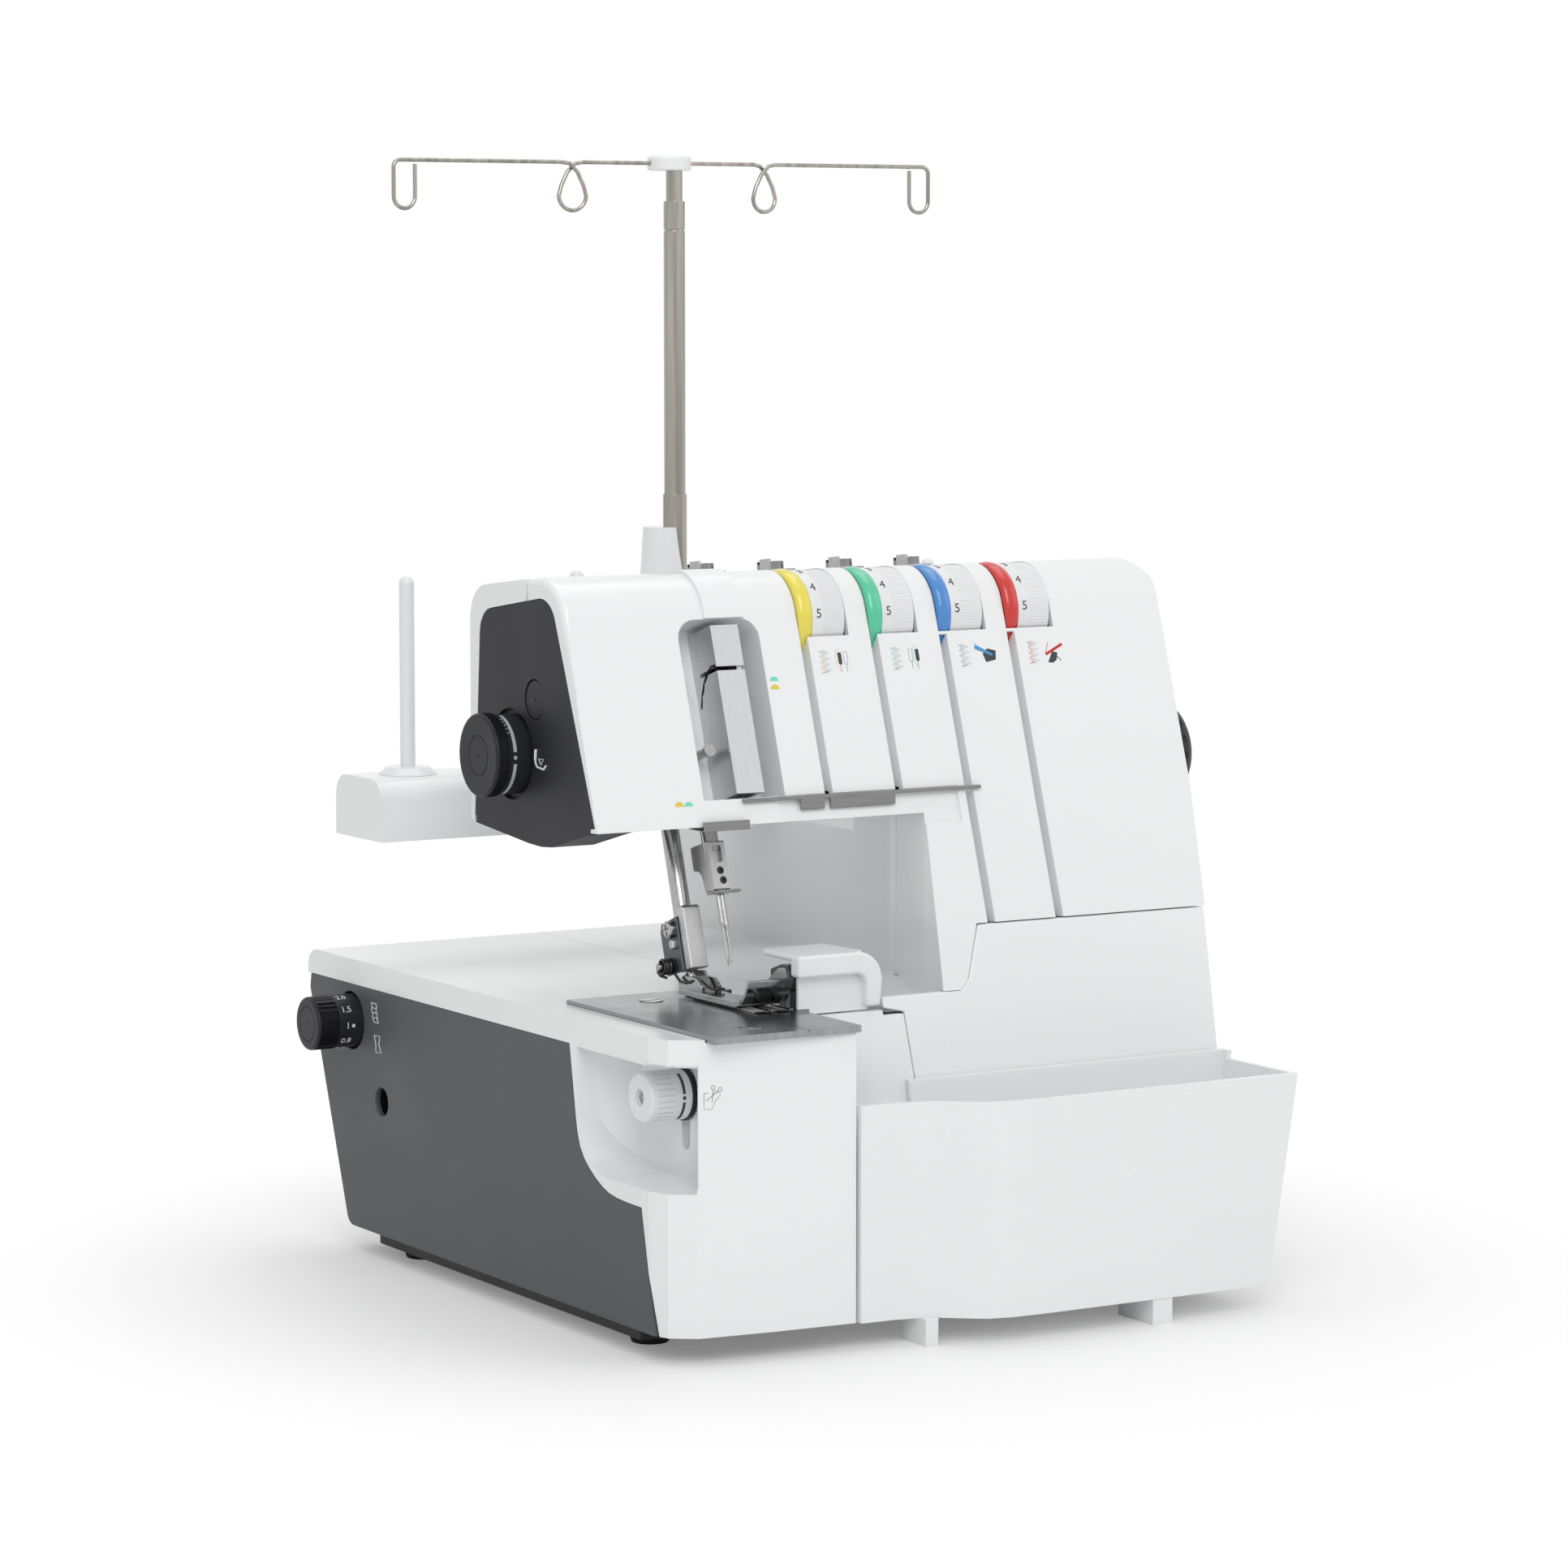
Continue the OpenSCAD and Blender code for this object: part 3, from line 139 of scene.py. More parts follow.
def rounded(piece, width, steps, chosen):
    """Rounds the edges whose middle, in millimetres, and direction pass the test."""
    pick(piece)
    bpy.ops.object.mode_set(mode="EDIT")
    bpy.ops.mesh.select_mode(type="EDGE")
    bpy.ops.mesh.select_all(action="DESELECT")
    bpy.ops.object.mode_set(mode="OBJECT")
    points = [(piece.matrix_world @ v.co - front_left) * 1000 for v in piece.data.vertices]
    for edge in piece.data.edges:
        start, end = (points[v] for v in edge.vertices)
        edge.select = bool(chosen((start + end) / 2, (end - start).normalized()))
    bpy.ops.object.mode_set(mode="EDIT")
    bpy.ops.mesh.bevel(offset=width / 1000, segments=steps, affect="EDGES", clamp_overlap=True)
    bpy.ops.object.mode_set(mode="OBJECT")


def soften(node, body, finish, width, steps=3, shape=None):
    """The CAD solid of a piece with its edges broken to a small round."""
    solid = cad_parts[node]
    piece = solid.copy()
    piece.data = solid.data.copy()
    piece.parent = None
    piece.name = node + "_piece"
    for key in list(piece.keys()):
        del piece[key]
    bpy.context.scene.collection.objects.link(piece)
    pick(piece)
    bpy.ops.object.mode_set(mode="EDIT")
    bpy.ops.mesh.select_all(action="SELECT")
    bpy.ops.mesh.remove_doubles(threshold=2e-6)
    bpy.ops.mesh.dissolve_limited(angle_limit=radians(1.2))
    bpy.ops.object.mode_set(mode="OBJECT")
    if shape:
        shape(piece)
    if width:
        edge = piece.modifiers.new("edge", "BEVEL")
        edge.width = width / 1000
        edge.segments = steps
        edge.limit_method = "ANGLE"
        edge.angle_limit = radians(crease)
        edge.use_clamp_overlap = True
        bpy.ops.object.modifier_apply(modifier="edge")
    tidy(piece)
    piece.data.materials.clear()
    piece.data.materials.append(finish)
    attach(piece, body)
    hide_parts(node)
    return piece


tray_black = moulded("tray_black", (0.028, 0.028, 0.03), (0.04, 0.04, 0.042), (0.45, 0.6), 2600, 0.00008, 0)
soften("base_tray", "machine", tray_black, 0.8)
pad_rubber = moulded("pad_rubber", (0.012, 0.012, 0.012), (0.02, 0.02, 0.02), (0.7, 0.85), 1800, 0.0001, 0)
soften("foot_pads", "machine", pad_rubber, 0.5)

# Side panel
# Satin grey moulding let into the left side of the base, with a screw access hole and the opening
# for the differential dial.
panel_grey = moulded("panel_grey", (0.085, 0.088, 0.091), (0.105, 0.108, 0.111), (0.42, 0.54), 2400,
                     0.00009, 0)


def path(name, points, closed=False):
    """A line through points in millimetres, drawn by extruding from one point to the next."""
    bpy.ops.object.select_all(action="DESELECT")
    bpy.ops.mesh.primitive_plane_add(size=0.001, location=(0, 0, 0))
    line = bpy.context.active_object
    line.name = name
    bpy.ops.object.mode_set(mode="EDIT")
    bpy.ops.mesh.select_mode(type="VERT")
    bpy.ops.mesh.select_all(action="SELECT")
    bpy.ops.mesh.merge(type="CENTER")
    bpy.ops.transform.translate(value=Vector(points[0]) / 1000)
    for start, end in zip(points, points[1:]):
        step = (Vector(end) - Vector(start)) / 1000
        bpy.ops.mesh.extrude_region_move(TRANSFORM_OT_translate={"value": step})
    if closed:
        bpy.ops.mesh.select_all(action="SELECT")
        bpy.ops.mesh.edge_face_add()
    bpy.ops.object.mode_set(mode="OBJECT")
    return line


def set_down(piece, where, turn):
    """Turns a drawn solid's faces outward and sets it in its place."""
    bpy.ops.mesh.select_all(action="SELECT")
    bpy.ops.mesh.normals_make_consistent(inside=False)
    bpy.ops.object.mode_set(mode="OBJECT")
    piece.rotation_euler = [radians(a) for a in turn]
    piece.location = place(*where)
    return piece


def turned(name, rings, where, turn=(0, 90, 0), around=96):
    """A turned solid: each ring is its distance along the axis and its radius, in millimetres."""
    bpy.ops.object.select_all(action="DESELECT")
    bpy.ops.mesh.primitive_circle_add(vertices=around, radius=rings[0][1] / 1000, fill_type="NGON",
                                      location=(0, 0, 0))
    piece = bpy.context.active_object
    piece.name = name
    bpy.ops.object.mode_set(mode="EDIT")
    bpy.ops.mesh.select_all(action="SELECT")
    bpy.ops.transform.translate(value=(0, 0, rings[0][0] / 1000))
    for (low, inner), (high, outer) in zip(rings, rings[1:]):
        bpy.ops.mesh.extrude_region_move(TRANSFORM_OT_translate={"value": (0, 0, (high - low) / 1000)})
        bpy.ops.transform.resize(value=(outer / inner, outer / inner, 1), center_override=(0, 0, high / 1000))
    return set_down(piece, where, turn)


def plate(name, outline, thick, where=(0, 0, 0), turn=(0, 0, 0)):
    """A plate cut to an outline and given its thickness."""
    piece = path(name, [(*point, 0) for point in outline], closed=True)
    bpy.ops.object.mode_set(mode="EDIT")
    bpy.ops.mesh.select_all(action="SELECT")
    bpy.ops.mesh.extrude_region_move(TRANSFORM_OT_translate={"value": (0, 0, thick / 1000)})
    return set_down(piece, where, turn)


def carve(piece, tool, way="DIFFERENCE"):
    """Cuts a tool's shape out of a piece, or joins it to the piece, or keeps what they share."""
    cut = piece.modifiers.new("cut", "BOOLEAN")
    cut.operation = way
    cut.object = tool
    cut.solver = "EXACT"
    bpy.context.view_layer.objects.active = piece
    bpy.ops.object.modifier_apply(modifier="cut")
    bpy.data.objects.remove(tool)
    return piece


def fit(piece, body, slot, finish, *nodes, angle=crease):
    """Sets a modelled piece in place: shading, finish, and the body that it rides on."""
    tidy(piece, angle)
    piece.data.materials.clear()
    piece.data.materials.append(finish)
    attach(piece, body)
    if nodes:
        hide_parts(*nodes)
    return piece


def broken(piece, width, steps=2):
    """Breaks the sharp edges of a piece to a small round."""
    edge = piece.modifiers.new("edge", "BEVEL")
    edge.width = width / 1000
    edge.segments = steps
    edge.limit_method = "ANGLE"
    edge.angle_limit = radians(crease)
    bpy.context.view_layer.objects.active = piece
    bpy.ops.object.modifier_apply(modifier="edge")
    return piece


def joined(name, parts):
    """One piece from several that are made the same way."""
    bpy.ops.object.select_all(action="DESELECT")
    for part in parts:
        part.select_set(True)
    bpy.context.view_layer.objects.active = parts[0]
    bpy.ops.object.join()
    parts[0].name = name
    return parts[0]


sweep = [(65, 109.4), (60.2, 82), (59, 76.5), (57, 71.6), (54, 67.8), (50, 64.6), (45, 61.6), (40, 59.2),
         (34.8, 57.5), (28, 56.6), (20, 56.2), (11.6, 56.1)]
outline = [*sweep, (10.4, 55.2), (1, 10)]
outline += [(250 + 6 * sin(radians(a)), 16 - 6 * cos(radians(a))) for a in range(0, 61, 15)]
outline += [(288.4, 103.5), (287.4, 109.4)]
panel = plate("left_panel_face", outline, 2.6, (0, 0, 0), (90, 0, 90))
for middle, radius in (((223, 64.6), 5.75), ((250.3, 94.3), 11.7)):
    carve(panel, turned("hole", [(-1, radius), (4, radius)], (0, *middle), (0, 90, 0), 64))
fit(broken(panel, 0.5, 3), "machine", "grey_panel", panel_grey, "left_panel")

# Housing
# White gloss mouldings screwed together over the cast frame: bed cover, frame of the looper bay, rear
# shell, and the front shell of arm and tower with its four thread channels.
shell_white = moulded("shell_white", (0.84, 0.85, 0.855), (0.875, 0.88, 0.885), (0.26, 0.34), 1500,
                      0.00003, 0.35)


def leaning(z, slope=0.325):
    """How far back the arm's leaning front face lies at a height."""
    return 42.4 + slope * (z - 190)


def recess(piece):
    """Gives the knob's recess its rounded bowl and the cover its rounded front corner."""
    rim = [(8, 50), (64.9, 50), (64.9, 112), (8, 112)]
    carve(piece, plate("rim", rim, 3.4, (0, 0, 0), (90, 0, 90)), "UNION")
    block = [(0.2, 61), (0.2, 8), (3.6, -1.5), (6, -3.6), (13, -9), (34, -11.6), (34, 61)]
    carve(piece, plate("block", block, 48.5, (0, 0, 62.5)), "UNION")
    edge = [(y - 0.3, z + 0.15) for y, z in sweep] + [(10.2, 56.2), (-1, 5), (300, 5), (300, 109.4)]
    carve(piece, plate("edge", edge, 4, (-1.1, 0, 0), (90, 0, 90)))
    hollow = [(-6, -32), (9.4, -32), (10.2, -12), (16.4, -4), (23, 6), (26.6, 16), (27, 24), (27, 38),
              (22, 49), (12, 56), (6, 58.6), (-6, 60)]
    bowl = plate("bowl", hollow, 46, (0, 0, 63))
    side = [(-40, 62), (34, 62), (42, 63.6), (47, 65.4), (51, 68.4), (54, 72.4), (56.6, 78), (58, 84),
            (59.2, 110), (-40, 110)]
    carve(bowl, plate("side", side, 60, (-15, 0, 0), (90, 0, 90)), "INTERSECT")
    rounded(bowl, 8, 8, lambda p, d: abs(d.z) < 0.3 and p.z < 64 and p.x > 8.5)
    carve(piece, bowl)
    carve(piece, turned("seat", [(0, 10.4), (2.4, 10.4)], (25.4, 25, 94), (0, 90, 0), 64))
    slot = [(24.4 - 3 * cos(radians(a)), 76 - 3 * sin(radians(a))) for a in range(0, 181, 20)]
    slot += [(27.4, 88), (21.4, 88)]
    carve(piece, plate("slot", slot, 14, (17, 0, 0), (90, 0, 90)))
    rounded(piece, 4.6, 6, lambda p, d: abs(d.z) > 0.95 and p.y < 8 and p.x < 14)


soften("bed_cover", "machine", shell_white, 1.2, 4, recess)
soften("front_frame", "machine", shell_white, 0.4)


def under_arm(piece):
    """Clears the end panel's lower edge, which runs straight into the belly."""
    under = [(47.5, 180), (139.8, 180), (139.8, 188.3), (104, 188.4), (60, 190), (47.5, 192.4)]
    carve(piece, plate("under", under, 4, (-1.1, 0, 0), (90, 0, 90)))


def arm_corner(piece):
    """Rounds the arm's outer edge round the head, and its lower front corner."""
    def top(p, d):
        ring = ((p.y - 86.8) ** 2 + (p.z - 262) ** 2) ** 0.5
        return p.x < 0.1 and abs(d.x) < 0.1 and (ring > 17 if p.y < 86.8 and p.z > 262 else p.z > 276)
    under_arm(piece)
    rounded(piece, 4, 6, top)
    rounded(piece, 1.4, 4, lambda p, d: p.x < 0.1 and abs(d.x) < 0.1 and p.z < 267
            and abs(p.y - leaning(p.z)) < 1)
    rounded(piece, 3, 5, lambda p, d: abs(d.y) > 0.8 and p.x < 2 and p.z < 191 and p.y < 49)


soften("rear_shell", "machine", shell_white, 0.9, 3, under_arm)
soften("front_shell", "machine", shell_white, 0.7, 3, arm_corner)
dial_pitch = 31.4
floor, left_wall, right_wall = (6.6, 7.6, -0.8, 5.2), (3.1, 7, -0.8, 0.75), (3.1, 7, 3.65, 0.75)
channels = []
for number in range(4):
    low, high = (199.8, 262) if number < 2 else (147.6, 262)
    left = 99.8 + dial_pitch * number
    for near, far, aside, wide in (floor, left_wall, right_wall):
        corners = ((low, near), (high, near), (high, far), (low, far))
        strip = [(leaning(z) + deep, z) for z, deep in corners]
        channels.append(plate("channel", strip, wide, (left + aside, 0, 0), (90, 0, 90)))
fit(joined("thread_channels", channels), "machine", "shell_white", shell_white)

# Head panel
# Charcoal moulding let into the end of the arm, with a plug over a service hole, a printed foot mark
# and the belly that covers the bars from below.
charcoal = moulded("charcoal", (0.014, 0.0145, 0.018), (0.02, 0.0205, 0.024), (0.4, 0.52), 2600, 0.00008, 0)


def skirt(piece):
    """Carries the panel's face down to the belly under the arm's end."""
    face = [(47.9, 189), (60, 188.6), (104, 187), (138.6, 185.8), (138.6, 190), (104, 190), (60, 191.5),
            (47.9, 192.8)]
    carve(piece, plate("face", face, 2.6, (0, 0, 0), (90, 0, 90)), "UNION")


soften("head_panel", "machine", charcoal, 0.7, 3, skirt)


def wire(name, points, thick, round_steps=3):
    """A round wire or a printed stroke that follows a line of points."""
    line = path(name, points)
    bpy.ops.object.convert(target="CURVE")
    line.data.bevel_depth = thick / 2000
    line.data.bevel_resolution = round_steps
    line.data.use_fill_caps = True
    bpy.ops.object.convert(target="MESH")
    return line


def side_line(points, thick, proud=0.06):
    """A stroke printed on the flat left side, through points given as (y, z)."""
    line = wire("stroke", [(proud - thick / 2, y, z) for y, z in points], thick, 1)
    line.location = front_left
    return line


rings = [(-1.1, 7.4), (-0.6, 7.45), (-0.35, 7.2), (-0.35, 0.5), (-0.7, 0.45), (-0.7, 0.1)]
plug = turned("head_plug_cap", rings, (0, 91, 236), (0, -90, 0))
fit(plug, "machine", "charcoal", charcoal, "head_plug")

print_white = moulded("print_white", (0.7, 0.71, 0.72), (0.76, 0.77, 0.78), (0.45, 0.55), 1500, 0.00001, 0)
foot_mark = [side_line(points, thick) for points, thick in (
    ([(89.3, 217.6), (89.6, 214.2), (89.9, 212.6), (88.6, 211), (83.4, 210.4), (81.6, 211.9)], 0.8),
    ([(89.4, 217.4), (89.7, 213.6)], 1.1), ([(87.6, 214), (83.8, 214.2), (85.8, 211.9), (87.6, 214)], 0.34))]
fit(joined("foot_mark", foot_mark), "machine", "pin_white", print_white)

# Side panel marks
# White marks printed beside the differential dial: a gathered seam above and a stretched one below.
ladder = [([(231.2, 104), (230.4, 102.6), (231, 101), (229.8, 99.4), (230.2, 97.8), (228.6, 96.2)], 0.36),
          ([(227.2, 104.1), (226.4, 102.6), (227, 101), (225.8, 99.4), (226.2, 97.8), (224.9, 96.4)], 0.36)]
ladder += [([(230.9 - 0.55 * n, 103.8 - 1.9 * n), (227 - 0.55 * n, 103.9 - 1.9 * n)], 0.36) for n in range(5)]
hourglass = [([(228.7, 90.9), (223.7, 91.1), (224.6, 87.7), (222.5, 84.5), (227.2, 84.2), (227.4, 87.5),
               (228.7, 90.9)], 0.4)]
side_marks = [side_line(*mark) for mark in ladder + hourglass]
fit(joined("side_marks", side_marks), "machine", "pin_white", print_white)

# Looper door and fabric guide
# White moulded door over the loopers, which slides to the right, with the plastic guide plate that
# stands on its left end.
soften("looper_door", "door", shell_white, 0.8)
top = 142.5
bend = [(71, top - 8.3), (71, top)]
bend += [(97 + 11 * sin(radians(a)), top - 11 + 11 * cos(radians(a))) for a in range(0, 91, 10)]
bend += [(107, 121.6), (100.8, 121.6)]
bend += [(96.4 + 4.4 * cos(radians(a)), top - 12.7 + 4.4 * sin(radians(a))) for a in range(0, 91, 15)]
face = plate("guide_face", bend, 6.6, (0, 23.4, 0), (90, 0, 0))
shelf = plate("guide_shelf", [(71.4, 22), (102, 22), (100, 46), (73, 46), (71.4, 44)], 2.4, (0, 0, top - 2.5))
wall_shape = [(73.4, 121.8), (78.2, 121.8), (78.2, 119.8), (104, 119.8), (104, 136), (73.4, 136)]
wall = plate("guide_wall", wall_shape, 1.8, (0, 23, 0), (90, 0, 0))
guide = joined("fabric_guide_moulding", [broken(face, 1.3, 4), broken(shelf, 0.8, 3), broken(wall, 0.3)])
fit(broken(guide, 0.1, 1), "door", "shell_white", shell_white, "fabric_guide")

# Waste bin
# Thin-walled white bin that hooks on the front, wide on the right and stepped back on the left,
# with two legs.
bin_white = moulded("bin_white", (0.83, 0.84, 0.845), (0.865, 0.87, 0.875), (0.22, 0.3), 1200, 0.00003, 0.4)
soften("waste_bin", "bin", bin_white, 0.7)


# Needle plate
# Polished steel plate on the bed, with openings for the feed dogs, the needles and the knife, held
# by two slotted screws.
def metal_texture():
    """Fine drawing lines and soft smudges of a worked metal surface; the lines also paint streaky reflections
    into the colour.
    """
    group = bpy.data.node_groups.new("metal_texture", "ShaderNodeTree")
    group.interface.new_socket("Grain size", in_out="INPUT", socket_type="NodeSocketVector")
    for name in ("Lines_and_painted_reflections", "Smudge"):
        group.interface.new_socket(name, in_out="OUTPUT", socket_type="NodeSocketFloat")
    new = group.nodes.new
    link = group.links.new
    taken = new("NodeGroupInput")
    given = new("NodeGroupOutput")
    where = new("ShaderNodeTexCoord")
    spread = new("ShaderNodeMapping")
    link(where.outputs["Object"], spread.inputs["Vector"])
    link(taken.outputs["Grain size"], spread.inputs["Scale"])
    lines = new("ShaderNodeTexNoise")
    lines.inputs["Scale"].default_value = 1
    lines.inputs["Detail"].default_value = 3
    link(spread.outputs["Vector"], lines.inputs["Vector"])
    link(lines.outputs["Fac"], given.inputs["Lines_and_painted_reflections"])
    smudge = new("ShaderNodeTexNoise")
    smudge.inputs["Scale"].default_value = 60
    smudge.inputs["Detail"].default_value = 4
    link(where.outputs["Object"], smudge.inputs["Vector"])
    link(smudge.outputs["Fac"], given.inputs["Smudge"])
    return group


def metal(name, low, high, rough, grain, depth):
    """A bare or plated metal: tone and gloss follow the drawing lines and smudges; the streaks in its tone
    are partly painted reflections.
    """
    texture = bpy.data.node_groups.get("metal_texture") or metal_texture()
    finish, skin = textured(name, texture, grain, low, high, rough, ("Lines_and_painted_reflections", "Smudge", "Lines_and_painted_reflections"), 0.4, depth)
    skin.inputs["Metallic"].default_value = 1
    return finish


# Each steel's tone runs between its two greys along stretched streaks: partly drawing lines, partly painted
# streaky reflections.
plate_steel = metal("plate_steel", (0.24, 0.245, 0.25), (0.42, 0.43, 0.44), (0.2, 0.32), (420, 9, 60),
                    0.000005)
brushed = metal("brushed", (0.44, 0.44, 0.445), (0.56, 0.56, 0.565), (0.28, 0.4), (900, 400, 400), 0.000005)
bright_steel = metal("bright_steel", (0.3, 0.3, 0.3), (0.52, 0.515, 0.51), (0.12, 0.24), (900, 900, 300),
                     0.000005)
soften("needle_plate", "machine", plate_steel, 0.5)
soften("plate_screws", "machine", bright_steel, 0.2)

# Feed, knives and loopers
# Hardened steel working parts in and under the needle plate: toothed feed dogs, a fixed and a
# swinging knife, and the two loopers.
dark_steel = metal("dark_steel", (0.09, 0.095, 0.1), (0.14, 0.145, 0.15), (0.28, 0.42), (600, 600, 2500),
                   0.00002)
soften("feed_dogs", "feed", bright_steel, 0.12, 1)
soften("lower_knife", "machine", bright_steel, 0.15)
edge = [(50.6, 127.6), (50.6, 128.4), (49.6, 130.2), (42.5, 134.9), (37.4, 135.4), (36.4, 133),
        (36.2, 120.4), (44, 122.6), (46.4, 126.6)]
blade = plate("blade", edge, 1.6, (77.3, 0, 0), (90, 0, 90))
fit(broken(blade, 0.2), "knife", "bright_steel", brushed)
block = [(38.6, 127), (45.2, 124.6), (51.6, 124.6), (51.6, 133.4), (44, 136), (38.6, 136.2)]
clamp_block = plate("clamp_block", block, 5.6, (79.4, 0, 0), (90, 0, 90))
neck = plate("neck", [(44.4, 99.6), (51.8, 99.6), (51.8, 134.6), (46, 134.6), (44.4, 126)], 3.4,
             (83.4, 0, 0), (90, 0, 90))
arm = plate("arm", [(44.4, 99.6), (80, 99.6), (80, 106.8), (44.4, 106.8)], 3.4, (83.4, 0, 0), (90, 0, 90))
boss = turned("boss", [(0, 4.5), (47.4, 4.5)], (82, 78, 104), (0, 90, 0), 48)
screw = turned("screw", [(0, 3.4), (2.4, 3.4), (2.8, 3)], (84.6, 47.8, 130.4), (0, 90, 0), 40)
knife_arm = joined("upper_knife_arm", [clamp_block, neck, arm, boss, screw])
fit(broken(knife_arm, 0.3), "knife", "dark_steel", dark_steel, "upper_knife")
soften("upper_looper", "looper_upper", bright_steel, 0.4)
soften("lower_looper", "looper_lower", bright_steel, 0.4)

# Presser bar and foot
# Plated bar with a sheet-metal shank on its end, held by a cross-slotted screw through a dark side
# plate, and a snap-on foot with a broad turned-up toe, a hinge and a black wire spring.
foot_steel = metal("foot_steel", (0.3, 0.302, 0.305), (0.55, 0.555, 0.56), (0.12, 0.22), (500, 500, 900),
                   0.000003)
black_steel = moulded("black_steel", (0.012, 0.012, 0.013), (0.02, 0.02, 0.021), (0.25, 0.36), 2000,
                      0.00003, 0.2)
lean = 17
bed = 119.5


def on_bar(piece, where, height, offset=(0, 0, 0)):
    """Moves a piece made round the origin on to a leaning bar, given the bar's foot on the bed."""
    x, y = where
    middle = place(x, y + (height - bed) * sin(radians(lean)) / cos(radians(lean)), height)
    turn = Matrix.Rotation(radians(-lean), 4, "X")
    piece.location = Vector(offset) / 1000
    piece.matrix_basis = Matrix.Translation(middle) @ turn @ piece.matrix_basis
    return piece


presser = (59.5, 73.6)
shank = 131
soften("presser_bar", "presser", bright_steel, 0.3)
flange = plate("shank_flange", [(-2, 0), (11, 0), (11.5, 2), (11.5, 17), (10, 20), (-2, 21)], 1.4,
               turn=(90, 0, 90))
on_bar(broken(flange, 0.3), presser, shank, (-4.4, 0, 0))
bracket = plate("shank_bracket", [(-2, 0), (3, 0), (3, 8), (11, 9), (11, 18), (-2, 20)], 5.5,
                turn=(90, 0, 90))
on_bar(broken(bracket, 0.3), presser, shank, (-3, 0, 0))
fit(joined("shank_side", [flange, bracket]), "presser", "dark_steel", dark_steel, "foot_holder")
front = plate("shank_front", [(-6.8, 0), (-2.2, 0), (-2.2, 24), (-3, 24.5), (-6, 24.5), (-6.8, 23.6)], 7.6,
              turn=(90, 0, 90))
on_bar(broken(front, 0.5, 3), presser, shank, (-3.6, 0, 0))
fit(front, "presser", "satin_silver", brushed)


def cross_screw(name, radius, height):
    """A cross-slotted screw head, its axis along Z and its top at the origin."""
    rings = [(-height, radius * 0.92), (-height + 0.3, radius), (-0.6, radius), (-0.15, radius * 0.85),
             (0, radius * 0.6)]
    head = turned(name, rings, (0, 0, 0), (0, 0, 0), 48)
    head.location = (0, 0, 0)
    for wide, long in ((radius * 0.26, radius * 1.3), (radius * 1.3, radius * 0.26)):
        x, y = wide / 2, long / 2
        slot = plate("slot", [(-x, -y), (x, -y), (x, y), (-x, y)], 2)
        slot.location = (0, 0, -radius * 0.28 / 1000)
        carve(head, slot)
    return head


screw = cross_screw("foot_screw_head", 3.4, 2.6)
screw.rotation_euler = (0, radians(-90), 0)
fit(on_bar(screw, presser, 147, (-6.6, 3, 0)), "presser", "bright_steel", bright_steel, "foot_screw")
clip = plate("shank_clip", [(-1.4, 0), (1.4, 0), (1.4, 3.4), (-1.4, 3.4)], 4.2, turn=(90, 0, 90))
fit(on_bar(broken(clip, 0.5), presser, 139.6, (-6.4, 1.6, 0)), "presser", "bright_steel", bright_steel)

coil = [(-4.6 - 3.6 * turn / 100, 2.7 * cos(radians(turn * 14.4)), 2.7 * sin(radians(turn * 14.4)))
        for turn in range(101)]
coil += [(-8.2, 2.9, -1.5), (-7.6, 2.4, -3), (-6, 0.4, -4.3)]
spring = on_bar(wire("foot_spring_coil", coil, 1.1), presser, shank, (0, 8.2, 3.4))
fit(spring, "presser", "black_steel", black_steel, "foot_spring")
pin = turned("spring_pin", [(3, 1.6), (9, 1.6), (9.7, 1.4), (10, 0.9)], (0, 0, 0), (0, -90, 0), 40)
fit(on_bar(pin, presser, shank, (0, 8.2, 3.4)), "presser", "bright_steel", bright_steel)

sole_top = 124.4
side = [(80, 122), (80, sole_top), (40, sole_top), (36, 124.6), (34.4, 125.4), (34.4, 123), (37, 122.2),
        (40, 122)]
sole = plate("foot_sole", side, 15.6, (55.4, 0, 0), (90, 0, 90))
curl = [(41, 122.1), (37.4, 122.3), (34.6, 123.2), (32.4, 124.9), (30.6, 127.2), (29.2, 130), (28.2, 132.6),
        (29.4, 133.1), (30.5, 130.4), (31.8, 127.9), (33.4, 125.9), (35.4, 124.5), (38, 123.8), (41, 123.6)]
toe = plate("foot_toe", curl, 19.6, (56, 0, 0), (90, 0, 90))
carve(sole, plate("gap", [(65.6, 51), (80, 51), (80, 66), (65.6, 66)], 20, (0, 0, 115)))
side = [(62, 124), (80, 124), (80, 127), (76, 129.6), (66, 129.6), (62, 127)]
rails = [plate("rail", side, 1.6, (x, 0, 0), (90, 0, 90)) for x in (55.4, 62.6)]
foot = joined("foot_body", [sole, toe, *rails])
fit(broken(foot, 0.3), "presser", "foot_steel", foot_steel, "presser_foot")
side = [(62.6, 124.4), (78, 124.4), (79, 129), (73, 131.6), (67, 128.6)]
hinge = [turned("hinge", [(0, 1.9), (0.3, 2.2), (7.4, 2.2), (7.7, 1.9)], (56.6, 74.6, 129.2), around=48),
         plate("knuckle", side, 5, (57.3, 0, 0), (90, 0, 90))]
fit(broken(joined("foot_hinge", hinge), 0.4), "presser", "bright_steel", bright_steel)
slack = [(54.2, 80, 129.6), (54, 76, 127.4), (54.6, 72, 127.2), (55.6, 68, 128.6), (57, 64.6, 128.6),
         (58.6, 62, 126.4), (60.4, 60.6, 125.4), (62.6, 60.4, 126), (64.6, 61, 125.4)]
lead = wire("foot_wire", slack, 1.1)
lead.location = front_left
fit(lead, "presser", "black_steel", black_steel)

